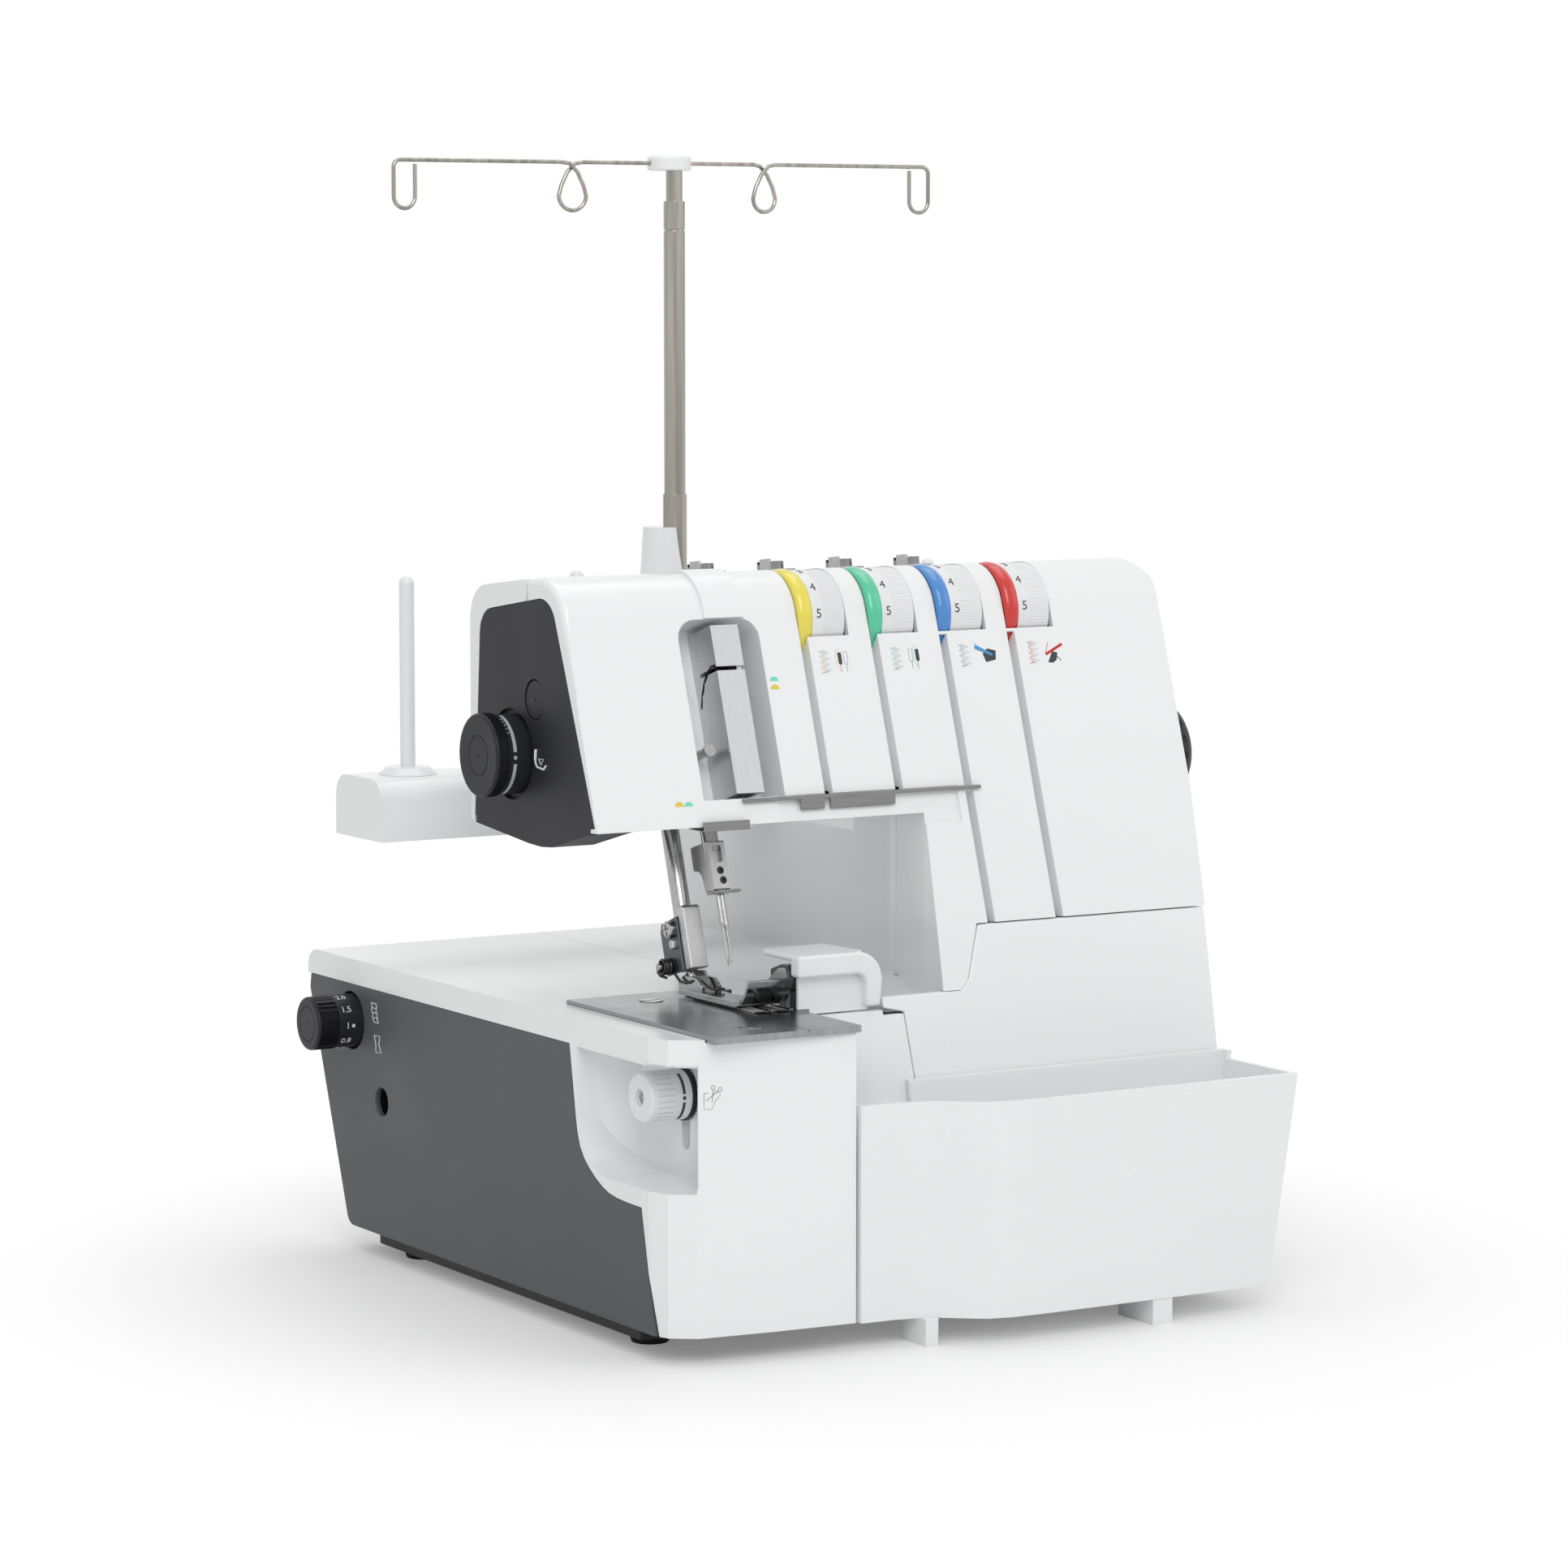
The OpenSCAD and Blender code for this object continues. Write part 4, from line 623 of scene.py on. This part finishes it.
# Needle bar
# Ground steel bar with a stepped clamp that has a window and two set screws in its front, two
# needles, and a wire guide below the clamp.
needle = (68, 59)
clamp_foot = 161.5
guide_foot = 160.6
screw_spots = ((7.4, 0.3), (3.6, 1))
soften("needle_bar", "needle_drive", bright_steel, 0.3)
profile = [(-3.5, 0.4), (-3.1, 0), (3.2, 0), (3.7, 3), (4.3, 6.2), (5.4, 8.2), (7.6, 9.3), (9.6, 9.6),
           (10, 10), (10, 18.4), (9.6, 18.8), (-3.1, 18.8), (-3.5, 18.4)]
clamp = plate("needle_clamp_body", profile, 7.2, turn=(90, 0, 90))
clamp.location = (-0.0036, 0, 0)
corners = [(x + 0.7 * cos(radians(a)), z + 0.7 * sin(radians(a)))
           for x, z, low in ((1.2, 16.4, 0), (-1.2, 16.4, 90), (-1.2, 11.4, 180), (1.2, 11.4, 270))
           for a in range(low, low + 91, 30)]
window = plate("window", corners, 4, turn=(90, 0, 0))
window.location = (0, -0.0018, 0)
carve(clamp, window)
for lift, side in screw_spots:
    hole = turned("hole", [(0, 1.5), (6, 1.5)], (0, 0, 0), (90, 0, 0), 32)
    hole.location = Vector((side, -2.4, lift)) / 1000
    carve(clamp, hole)
on_bar(broken(clamp, 0.35), needle, clamp_foot, (0.4 - 3.6, 0, 0))
fit(clamp, "needle_drive", "bright_steel", brushed, "needle_clamp")
rings = [(0, 1.42), (0.9, 1.42), (1.05, 1.25), (1.05, 0.8), (0.3, 0.7)]
screws = []
for lift, side in screw_spots:
    screw = turned("set_screw", rings, (0, 0, 0), (90, 0, 0), 32)
    screws.append(on_bar(screw, needle, clamp_foot, (side + 0.4, -2.6, lift)))
fit(joined("clamp_set_screws", screws), "needle_drive", "black_steel", black_steel, "set_screws")
soften("needles", "needle_drive", bright_steel, 0)
eyes = [(2.2 + 2 * cos(radians(a)), -4 + 1.5 * sin(radians(a)), 0) for a in range(170, -170, -20)]
eyes = [(x + 3.2, y, z) for x, y, z in eyes] + [(1.4, -2.4, 0), (-2, -2.6, 0)]
eyes += [(-4.4 + 2.2 * cos(radians(a)), -4 + 1.3 * sin(radians(a)), 0) for a in range(60, 380, 20)]
guide = on_bar(wire("clamp_thread_guide", eyes, 0.9), needle, guide_foot)
bridge = plate("bridge", [(-3, -2.6), (6, -2.6), (6, 3), (-3, 3)], 0.8)
hole = plate("hole", [(-1.2, -1.2), (2.9, -1.2), (2.9, 1.2), (-1.2, 1.2)], 4)
hole.location = (0, 0, -0.002)
bridge.location = (0, 0, 0)
carve(bridge, hole)
guide = joined("clamp_guide", [guide, on_bar(bridge, needle, guide_foot)])
fit(guide, "needle_drive", "bright_steel", bright_steel, "needle_thread_guide")

# Take-up and arm guides
# Satin silver cover over the take-up lever, the pin beside it, and the steel plates that lead the
# threads along the arm's edge and, held by screws, on its top.
satin_silver = metal("satin_silver", (0.52, 0.525, 0.535), (0.62, 0.625, 0.635), (0.26, 0.36), (700, 700, 30),
                     0.000005)


def lever_slot(piece):
    """Cuts the curved slot in the cover's left side, in which the lever's eye moves."""
    line = [(62, 248.4), (65, 247.6), (68, 245), (70.5, 241), (72, 236), (72.4, 231)]
    for (y, z), (far_y, far_z) in zip(line, line[1:]):
        strip = [(y - 0.5, z - 1), (y + 0.5, z + 0.6), (far_y + 0.6, far_z + 0.4), (far_y - 0.7, far_z - 0.3)]
        carve(piece, plate("slot", strip, 5, (60, 0, 0), (90, 0, 90)))


soften("take_up_cover", "machine", satin_silver, 0.9, 3, lever_slot)
soften("take_up_lever", "take_up", bright_steel, 0.3)
soften("guide_pin", "machine", bright_steel, 0.2)
edge_chrome = metal("edge_chrome", (0.2, 0.2, 0.2), (0.3, 0.3, 0.3), (0.1, 0.18), (60, 900, 900), 0.000003)
soften("guide_plate", "machine", edge_chrome, 0.35)
soften("head_thread_guide", "machine", edge_chrome, 0.3)
soften("top_guides", "machine", bright_steel, 0.2)
soften("guide_screws", "machine", edge_chrome, 0.4)

# Tension dials
# Four dials on spindles in the arm: a glossy coloured ring that marks the thread, and a white drum
# with printed numbers and a fine grip at its right end.
knob_white = moulded("knob_white", (0.78, 0.79, 0.8), (0.82, 0.83, 0.835), (0.24, 0.32), 1500, 0.00003, 0.3)
print_grey = moulded("print_grey", (0.05, 0.05, 0.055), (0.07, 0.07, 0.075), (0.5, 0.6), 1500, 0.00001, 0)


def grip(piece, low, high, every, side, depth):
    """Cuts a groove into every so many faces of a turned piece's band, for the fingers."""
    pick(piece)
    bpy.ops.object.mode_set(mode="EDIT")
    bpy.ops.mesh.select_all(action="DESELECT")
    bpy.ops.object.mode_set(mode="OBJECT")
    band = [f for f in piece.data.polygons if low < f.center.z * 1000 < high and abs(f.normal.z) < 0.5]
    band.sort(key=lambda f: Vector((f.center.x, f.center.y)).angle_signed(Vector((1, 0))))
    for number, face in enumerate(band):
        face.select = number % every == 0
    bpy.ops.object.mode_set(mode="EDIT")
    bpy.ops.mesh.select_mode(type="FACE")
    bpy.ops.mesh.inset(use_individual=True, thickness=side / 1000, depth=-depth / 1000)
    bpy.ops.object.mode_set(mode="OBJECT")


def figure(text, size, where, turn, thick=0.05):
    """A printed number as a very thin raised mark, standing at its middle."""
    bpy.ops.object.select_all(action="DESELECT")
    bpy.ops.object.text_add(location=place(*where), rotation=[radians(a) for a in turn])
    mark = bpy.context.active_object
    mark.data.body = text
    mark.data.size = size / 1000
    mark.data.align_x = "CENTER"
    mark.data.align_y = "CENTER"
    mark.data.extrude = thick / 1000
    bpy.ops.object.convert(target="MESH")
    bpy.ops.object.transform_apply(location=True, rotation=True, scale=True)
    return mark


def around_x(middle, x, radius, degrees):
    """A point on a drum that turns about the X direction, measured up from the front."""
    return (x, middle[0] - radius * cos(radians(degrees)), middle[1] + radius * sin(radians(degrees)))


dial_middle = (83.2, 263.5)
front_number, number_step = 8, 35
for number, (node, colour) in enumerate((
        ("dial_yellow", (0.8, 0.68, 0.08)), ("dial_green", (0.085, 0.56, 0.33)),
        ("dial_blue", (0.055, 0.24, 0.6)), ("dial_red", (0.6, 0.022, 0.015)))):
    body = "tension_" + str(number + 1)
    left = 100.2 + dial_pitch * number
    drum = turned(node + "_drum", [(6, 3), (6, 18.2), (10.6, 18.3), (10.9, 18.2), (20.1, 18.2), (20.4, 17.9),
                                   (20.4, 3), (27.4, 3)], (left, *dial_middle), around=180)
    grip(drum, 11, 20, 2, 0.12, 0.16)
    fit(drum, body, "knob_white", knob_white, node)
    rim = [(3.2 + 3.2 * sin(radians(a)), 17.1 + 1.9 * cos(radians(a))) for a in range(-90, 91, 15)]
    ring = turned(node + "_ring", [(0, 3), *rim, (6.4, 3)], (left, *dial_middle))
    glossy = moulded(node + "_colour", colour, [c * 1.06 for c in colour], (0.16, 0.24), 1200, 0.00002, 0.4)
    fit(ring, body, node[5:], glossy)
    marks = []
    for n in range(10):
        up = front_number + number_step * (5 - n)
        marks.append(figure(str(n), 5, around_x(dial_middle, left + 8.9, 18.27, up), (90 - up, 0, 0)))
    fit(joined(node + "_numbers", marks), body, "charcoal", print_grey)

# Printed marks
# Threading pictures under each dial, the two-colour half discs on the arm, and the trimming mark
# beside the cutting width knob.
thread_prints = {}
for slot, colour in (("yellow", (0.72, 0.6, 0.07)), ("green", (0.2, 0.72, 0.52)), ("blue", (0.1, 0.33, 0.62)),
                     ("red", (0.55, 0.04, 0.03))):
    thread_prints[slot] = moulded(slot + "_print", colour, [c * 1.05 for c in colour], (0.45, 0.55), 1500,
                                  0.00001, 0)
mark_grey = moulded("mark_grey", (0.2, 0.21, 0.22), (0.24, 0.25, 0.26), (0.45, 0.55), 1500, 0.00001, 0)


def on_face(x, z, proud=0):
    """A point on the arm's leaning front face."""
    return (x, leaning(z, 0.3249) - proud, z)


def face_stroke(points, thick):
    """A stroke printed on the leaning front face, through points given as (x, z)."""
    line = wire("stroke", [on_face(x, z, 0.07 - thick / 2) for x, z in points], thick, 1)
    line.location = front_left
    return line


def face_patch(x, z, outline):
    """A flat patch printed on the leaning front face, its outline measured from (x, z)."""
    return plate("patch", outline, 0.1, on_face(x, z, -0.04), (72, 0, 0))


def prints(name, parts, slot, finish):
    """Sets a group of printed parts on the machine."""
    return fit(joined(name, parts), "machine", slot, finish)


for number, (slot, left) in enumerate((("yellow", 107), ("green", 139.2), ("blue", 170.4), ("red", 202.4))):
    grey = [face_stroke([(left + (4.6 if k % 2 else 1.6), 252.2 - 1.05 * k) for k in range(9)], 0.3),
            face_stroke([(left + (3.2 if k % 2 else 0.2), 252 - 1.05 * k) for k in range(9)], 0.24)]
    shade = [face_stroke([(left + (1.9 if k % 2 else 0.3), 252 - 1.05 * k) for k in range(9)], 0.38)]
    at = left + 8.2
    if number < 2:
        dark, pale = (0, 2.8) if number == 0 else (2.8, 0)
        needle_shape = [(0, 0.8), (0.8, 0), (1.6, 0.8), (1.6, 5), (0, 5)]
        ink = [face_patch(at + dark + 0.2, 246.4, needle_shape)]
        grey += [face_stroke([(at + pale + x, 246.4 + z) for x, z in [*needle_shape, needle_shape[0]]], 0.3)]
        grey += [face_stroke([(at + x, 246.6), (at + x, 243.8)], 0.3) for x in (1, 3.6)]
        shade += [face_stroke([(at + dark + 0.9, 252.6), (at + dark - 0.6, 251.6), (at + dark - 0.8, 246.6),
                               (at + dark + 0.8, 244.2)], 0.4)]
    elif number == 2:
        ink = [face_patch(at - 0.8, 249.8, [(4.4, -5), (9, -4.2), (9.6, -0.6), (5.8, 0.4), (3.4, -1.6)])]
        shade += [face_patch(at - 1, 250.9, [(0, 0), (0.4, -0.9), (7.8, -3.8), (8.2, -3), (1, 0.9)]),
                  face_stroke([(at - 0.4, 252.6), (at - 0.2, 250.6)], 0.4)]
    else:
        ink = [face_patch(at, 243.6, [(0.4, 0.3), (2.6, 0), (4.4, 1), (5.4, 4), (3, 4.6)]),
               face_stroke([(at + 3.6, 247.4), (at + 6.6, 244.2)], 0.7)]
        shade += [face_patch(at - 0.4, 247.4, [(0, 0), (0.4, -1), (8.6, 2.8), (8.4, 3.9)]),
                  face_stroke([(at - 0.2, 247.2), (at + 1.6, 251.4)], 0.4)]
    prints(slot + "_mark_lines", grey, "charcoal", mark_grey)
    prints(slot + "_mark_shape", ink, "charcoal", print_grey)
    prints(slot + "_mark_thread", shade, slot, thread_prints[slot])

half = [(1.9 * cos(radians(a)), 1.8 * sin(radians(a))) for a in range(0, 181, 15)]
for slot, spots in (("green", ((85.6, 241.7), (40.2, 197.8))), ("yellow", ((85.5, 238.7), (36.2, 197.9)))):
    prints(slot + "_half_discs", [face_patch(x, z, half) for x, z in spots], slot, thread_prints[slot])

cloth = [(14.2, 100), (14.2, 94.2), (17.4, 94), (18.4, 96.6), (20.7, 99.2), (18.8, 100.8), (17.6, 99)]
trim = [(cloth, 0.26), ([(14.2, 100), (15.6, 100)], 0.26), ([(15, 97.2), (19.9, 100.6)], 0.32),
        ([(17.4, 96.6), (17.8, 101.2)], 0.32)]
for x, z in ((17.8, 101.9), (20.5, 101.1)):
    trim.append(([(x + 0.7 * cos(radians(a)), z + 0.8 * sin(radians(a))) for a in range(0, 361, 30)], 0.26))
strokes = []
for points, thick in trim:
    along = [(x, -10.5 - 3.5 * (x - 12) / 30 - 0.06 + thick / 2, z) for x, z in points]
    line = wire("stroke", along, thick, 1)
    line.location = front_left
    strokes.append(line)
prints("trimming_mark", strokes, "charcoal", print_grey)

# Pressure dial
# Wide charcoal knob on the head panel that sets the foot's pressure, with a grip around its outer
# half, a printed arc for the scale and a cap over its screw.
print_silver = moulded("print_silver", (0.42, 0.44, 0.45), (0.48, 0.5, 0.51), (0.35, 0.45), 1500, 0.00001, 0)
pressure_middle = (110, 214.2)


def shoulder(height, radius, size):
    """The rings of a knob's rounded outer edge."""
    return [(height + size * sin(radians(a)), radius + size * cos(radians(a))) for a in range(15, 91, 15)]


rings = [(-1.6, 15.2), (8.4, 15.3), (8.8, 15.9), (13, 15.9), *shoulder(13, 14.7, 1.2)]
rings += [(14, 8.2), (14, 7.75), (13.75, 7.7), (13.75, 7.4), (14, 7.35), (14, 0.45), (13.6, 0.4), (13.6, 0.1)]
knob = turned("pressure_dial_knob", rings, (0, *pressure_middle), (0, -90, 0), 120)
grip(knob, 9, 13, 2, 0.14, 0.45)
fit(knob, "pressure", "charcoal", charcoal, "pressure_dial")


def arc_on_drum(name, middle, x, width, radius, start, end):
    """A thin printed band on a drum that turns about the X direction."""
    steps = 24
    bpy.ops.object.select_all(action="DESELECT")
    bpy.ops.mesh.primitive_plane_add(size=1, location=(0, 0, 0))
    band = bpy.context.active_object
    band.name = name
    bpy.ops.object.mode_set(mode="EDIT")
    bpy.ops.mesh.select_all(action="SELECT")
    bpy.ops.mesh.subdivide(number_cuts=steps)
    bpy.ops.object.mode_set(mode="OBJECT")
    for point in band.data.vertices:
        share, across = point.co.y + 0.5, point.co.x
        point.co = place(*around_x(middle, x + across * width, radius, start + (end - start) * share))
    return band


scale_x = -6.2
arcs = [arc_on_drum("arc", pressure_middle, scale_x, 1.4, 15.36, *ends) for ends in ((8, 78), (-72, -9))]
for degrees, size in ((0, 0.75), (37, 0.28), (44, 0.3), (51, 0.32), (58, 0.34), (65, 0.36)):
    where = around_x(pressure_middle, scale_x if degrees == 0 else -7.7, 15.3, degrees)
    arcs.append(turned("dot", [(-0.1, size), (0.08, size)], where, (90 - degrees, 0, 0), 20))
fit(joined("pressure_dial_scale", arcs), "pressure", "satin_silver", print_silver)

# Differential dial
# Black knob in the side panel with coarse grip at its outer end and printed ratios around its
# inner half.
knob_black = moulded("knob_black", (0.014, 0.0145, 0.018), (0.022, 0.0225, 0.026), (0.36, 0.48), 2000,
                     0.00005, 0)
diff_middle = (250.3, 94.3)
rings = [(-7.6, 10.8), (10, 10.8), (18.3, 10.8), *shoulder(18.3, 9.6, 1.2)]
rings += [(19.5, 7.5), (19.5, 7.2), (19.2, 7.15), (19.2, 6.9), (19.5, 6.85), (19.5, 0.5), (19.2, 0.45),
          (19.2, 0.1)]
knob = turned("diff_dial_knob", rings, (0, *diff_middle), (0, -90, 0), 96)
grip(knob, 11, 19, 3, 0.12, 0.5)
fit(knob, "differential", "black_plastic", knob_black, "diff_dial")
marks = [figure(text, 3.7, around_x(diff_middle, -6.4, 10.78, degrees), (90 - degrees, 0, 0))
         for text, degrees in (("1", -3), ("1.5", 33), ("2.0", 69), ("0.8", -39), ("0.6", -75))]
spot = around_x(diff_middle, -4, 10.76, -3)
marks.append(turned("dot", [(-0.1, 0.75), (0.08, 0.75)], spot, (93, 0, 0), 24))
fit(joined("diff_dial_numbers", marks), "differential", "pin_white", print_white)

# Other knobs
# Cutting width knob in the front hollow, foot lifter behind the head, and the handwheel and stitch
# length dial on the right.
soften("lifter_lever", "lifter", charcoal, 1)
cut_middle = (25, 94)
rings = [(0, 9.1), (0.6, 9.5), (9, 9.5), (15.9, 9.5), *shoulder(17.5, 8.1, 1.4)]
rings += [(18.9, 3.3), (17.4, 3), (17.4, 0.2)]
knob = turned("cut_knob_body", rings, (26.5, *cut_middle), (0, -90, 0), 104)
grip(knob, 10, 16, 4, 0.05, 0.35)
fit(knob, "cut_width", "knob_white", knob_white, "cut_knob")
marks = [arc_on_drum("arc", cut_middle, 21.2, 1.2, 9.54, *ends) for ends in ((9, 62), (-64, -10))]
marks.append(turned("dot", [(-0.1, 0.75), (0.08, 0.75)], around_x(cut_middle, 21.2, 9.5, 0), (90, 0, 0), 24))
fit(joined("cut_knob_marks", marks), "cut_width", "charcoal", print_grey)
seal = turned("cut_knob_seal", [(0, 9.7), (0.4, 10), (1.6, 10), (2, 9.7)], (26.6, *cut_middle), (0, -90, 0))
fit(seal, "cut_width", "black_plastic", knob_black)
screw = cross_screw("cut_knob_screw", 2.7, 1)
screw.rotation_euler = (0, radians(-90), 0)
screw.location = place(8.6, *cut_middle)
fit(screw, "cut_width", "bright_steel", bright_steel)
soften("handwheel", "wheel", charcoal, 0.4)
soften("stitch_dial", "stitch_length", charcoal, 0.8)

# Works inside the housing
# Cast frame that carries the shafts, the needle crank and the tension posts, with an enamelled motor
# and its rubber belt, and the inlet and switch in the right side.
frame_metal = metal("frame_metal", (0.2, 0.21, 0.22), (0.28, 0.29, 0.3), (0.42, 0.58), (300, 300, 300),
                    0.00008)
motor_enamel = moulded("motor_enamel", (0.05, 0.052, 0.055), (0.065, 0.067, 0.07), (0.4, 0.5), 1500,
                       0.00005, 0.1)
for node, body, slot, finish in (
        ("tension_posts", "machine", "frame_metal", frame_metal),
        ("main_shaft", "wheel", "frame_metal", frame_metal),
        ("needle_crank", "arm_shaft", "frame_metal", frame_metal),
        ("cast_frame", "machine", "frame_metal", frame_metal),
        ("motor", "machine", "motor_metal", motor_enamel),
        ("drive_belt", "machine", "belt_rubber", pad_rubber),
        ("motor_pulley", "motor_rotor", "frame_metal", frame_metal)):
    soften(node, body, finish, 0.4)
soften("power_inlet", "machine", knob_black, 0.3)
soften("rocker_switch", "switch", knob_black, 0.6)

# Thread stand
# White moulded stand with four round-ended pins on tapered feet, the plated telescopic pole, and on it
# a hub with two bent wire arms that lead the threads.
# The chrome's tone swings from dark to pale in bands along the pole's length: painted reflections.
chrome = metal("chrome", (0.13, 0.122, 0.105), (0.58, 0.55, 0.5), (0.14, 0.24), (420, 420, 9), 0.000005)
soften("spool_stand", "machine", shell_white, 1)
soften("spool_pins", "machine", knob_white, 0.5)
soften("pole_base", "machine", chrome, 0.3)
soften("pole_slide", "pole", chrome, 0.3)
pole = (135, 225)
bend = [(-8, 0, 440), (-40, 0, 440), (-43.4, 0.9, 439.4), (-46.8, 1, 436), (-49.6, 0.9, 430.6)]
bend += [(-45 + 5.8 * cos(radians(a)), 0.9 - 1.8 * (a - 180) / 180, 426.4 + 5.8 * sin(radians(a)))
         for a in range(180, 361, 15)]
bend += [(-40.4, -0.9, 430.6), (-43.2, -1, 436), (-46.6, -0.9, 439.4), (-50, 0, 440), (-120, 0, 440)]
bend += [(-122.3 + 3 * cos(radians(a)), 0, 437 + 3 * sin(radians(a))) for a in range(90, 181, 15)]
bend += [(-120.6 + 4.7 * cos(radians(a)), 0, 425.6 + 4.7 * sin(radians(a))) for a in range(180, 361, 15)]
bend += [(-115.9, 0, 438.4)]
arms = []
for side in (-1, 1):
    arm = wire("antenna_wire", [(side * -x, y, z) for x, y, z in bend], 1.7, 4)
    arm.location = place(*pole, 0)
    arms.append(arm)
fit(joined("antenna_wires", arms), "antenna_arm", "wire_chrome", chrome, "antenna")
hub = turned("antenna_hub", [(0, 8.4), (0.6, 9), (5, 9), (5.8, 8.4), (6, 7.6)], (*pole, 437), (0, 0, 0))
fit(hub, "antenna_arm", "shell_white", shell_white)

# Floor, light and camera
# A pale table top that fades to white away from the machine, soft studio light from above and both
# sides, and a long lens.
bpy.ops.object.select_all(action="DESELECT")
bpy.ops.mesh.primitive_grid_add(x_subdivisions=4, y_subdivisions=4, size=24, location=(0, 0, 0))
table = bpy.context.active_object
table.name = "table_top"
pale = bpy.data.materials.new("pale_table")
pale.use_nodes = True
nodes = pale.node_tree.nodes
links = pale.node_tree.links
nodes["Principled BSDF"].inputs["Base Color"].default_value = (0.95, 0.95, 0.95, 1)
nodes["Principled BSDF"].inputs["Roughness"].default_value = 0.7
glow = nodes.new("ShaderNodeEmission")
glow.inputs["Color"].default_value = (1, 1, 1, 1)
where = nodes.new("ShaderNodeTexCoord")
away = nodes.new("ShaderNodeVectorMath")
away.operation = "LENGTH"
reach = nodes.new("ShaderNodeMapRange")
reach.interpolation_type = "SMOOTHSTEP"
reach.inputs["From Min"].default_value = 0.17
reach.inputs["From Max"].default_value = 0.34
reach.inputs["To Min"].default_value = 0.2
reach.inputs["To Max"].default_value = 1
seen = nodes.new("ShaderNodeLightPath")
share = nodes.new("ShaderNodeMath")
share.operation = "MULTIPLY"
blend = nodes.new("ShaderNodeMixShader")
links.new(where.outputs["Object"], away.inputs[0])
links.new(away.outputs["Value"], reach.inputs["Value"])
links.new(reach.outputs["Result"], share.inputs[0])
either = nodes.new("ShaderNodeMath")
either.operation = "MAXIMUM"
links.new(seen.outputs["Is Camera Ray"], either.inputs[0])
links.new(seen.outputs["Is Glossy Ray"], either.inputs[1])
links.new(either.outputs["Value"], share.inputs[1])
links.new(share.outputs["Value"], blend.inputs["Fac"])
links.new(nodes["Principled BSDF"].outputs["BSDF"], blend.inputs[1])
links.new(glow.outputs["Emission"], blend.inputs[2])
links.new(blend.outputs["Shader"], nodes["Material Output"].inputs["Surface"])
table.data.materials.append(pale)

world = bpy.data.worlds.new("studio")
bpy.context.scene.world = world
world.use_nodes = True
nodes = world.node_tree.nodes
links = world.node_tree.links
sky = nodes["Background"]
sky.inputs["Color"].default_value = (1, 1, 1, 1)
seen = nodes.new("ShaderNodeLightPath")
level = nodes.new("ShaderNodeMapRange")
level.inputs["To Min"].default_value = 0.5
level.inputs["To Max"].default_value = 1
either = nodes.new("ShaderNodeMath")
either.operation = "MAXIMUM"
links.new(seen.outputs["Is Camera Ray"], either.inputs[0])
links.new(seen.outputs["Is Glossy Ray"], either.inputs[1])
links.new(either.outputs["Value"], level.inputs["Value"])
links.new(level.outputs["Result"], sky.inputs["Strength"])

aim = Vector((0, 0, 0.18))
for name, where, size, power in (("key", (-0.9, -1.6, 1.5), 1.3, 17), ("fill", (1.6, -1.1, 1.1), 1.2, 3),
                                 ("top", (0.1, 0.3, 1.9), 1.4, 8)):
    bpy.ops.object.light_add(type="AREA", location=where)
    lamp = bpy.context.active_object
    lamp.name = name
    lamp.data.size = size
    lamp.data.energy = power
    lamp.rotation_euler = (aim - Vector(where)).to_track_quat("-Z", "Y").to_euler()

bpy.ops.object.camera_add(location=place(-864.2, -1528.8, 390.4))
camera = bpy.context.active_object
look_down, look_across = 5.795, -31
camera.rotation_euler = (radians(90 - look_down), 0, radians(look_across))
camera.data.lens = 112.73
camera.data.sensor_width = 36
bpy.context.scene.camera = camera
bpy.context.scene.view_settings.view_transform = "Standard"
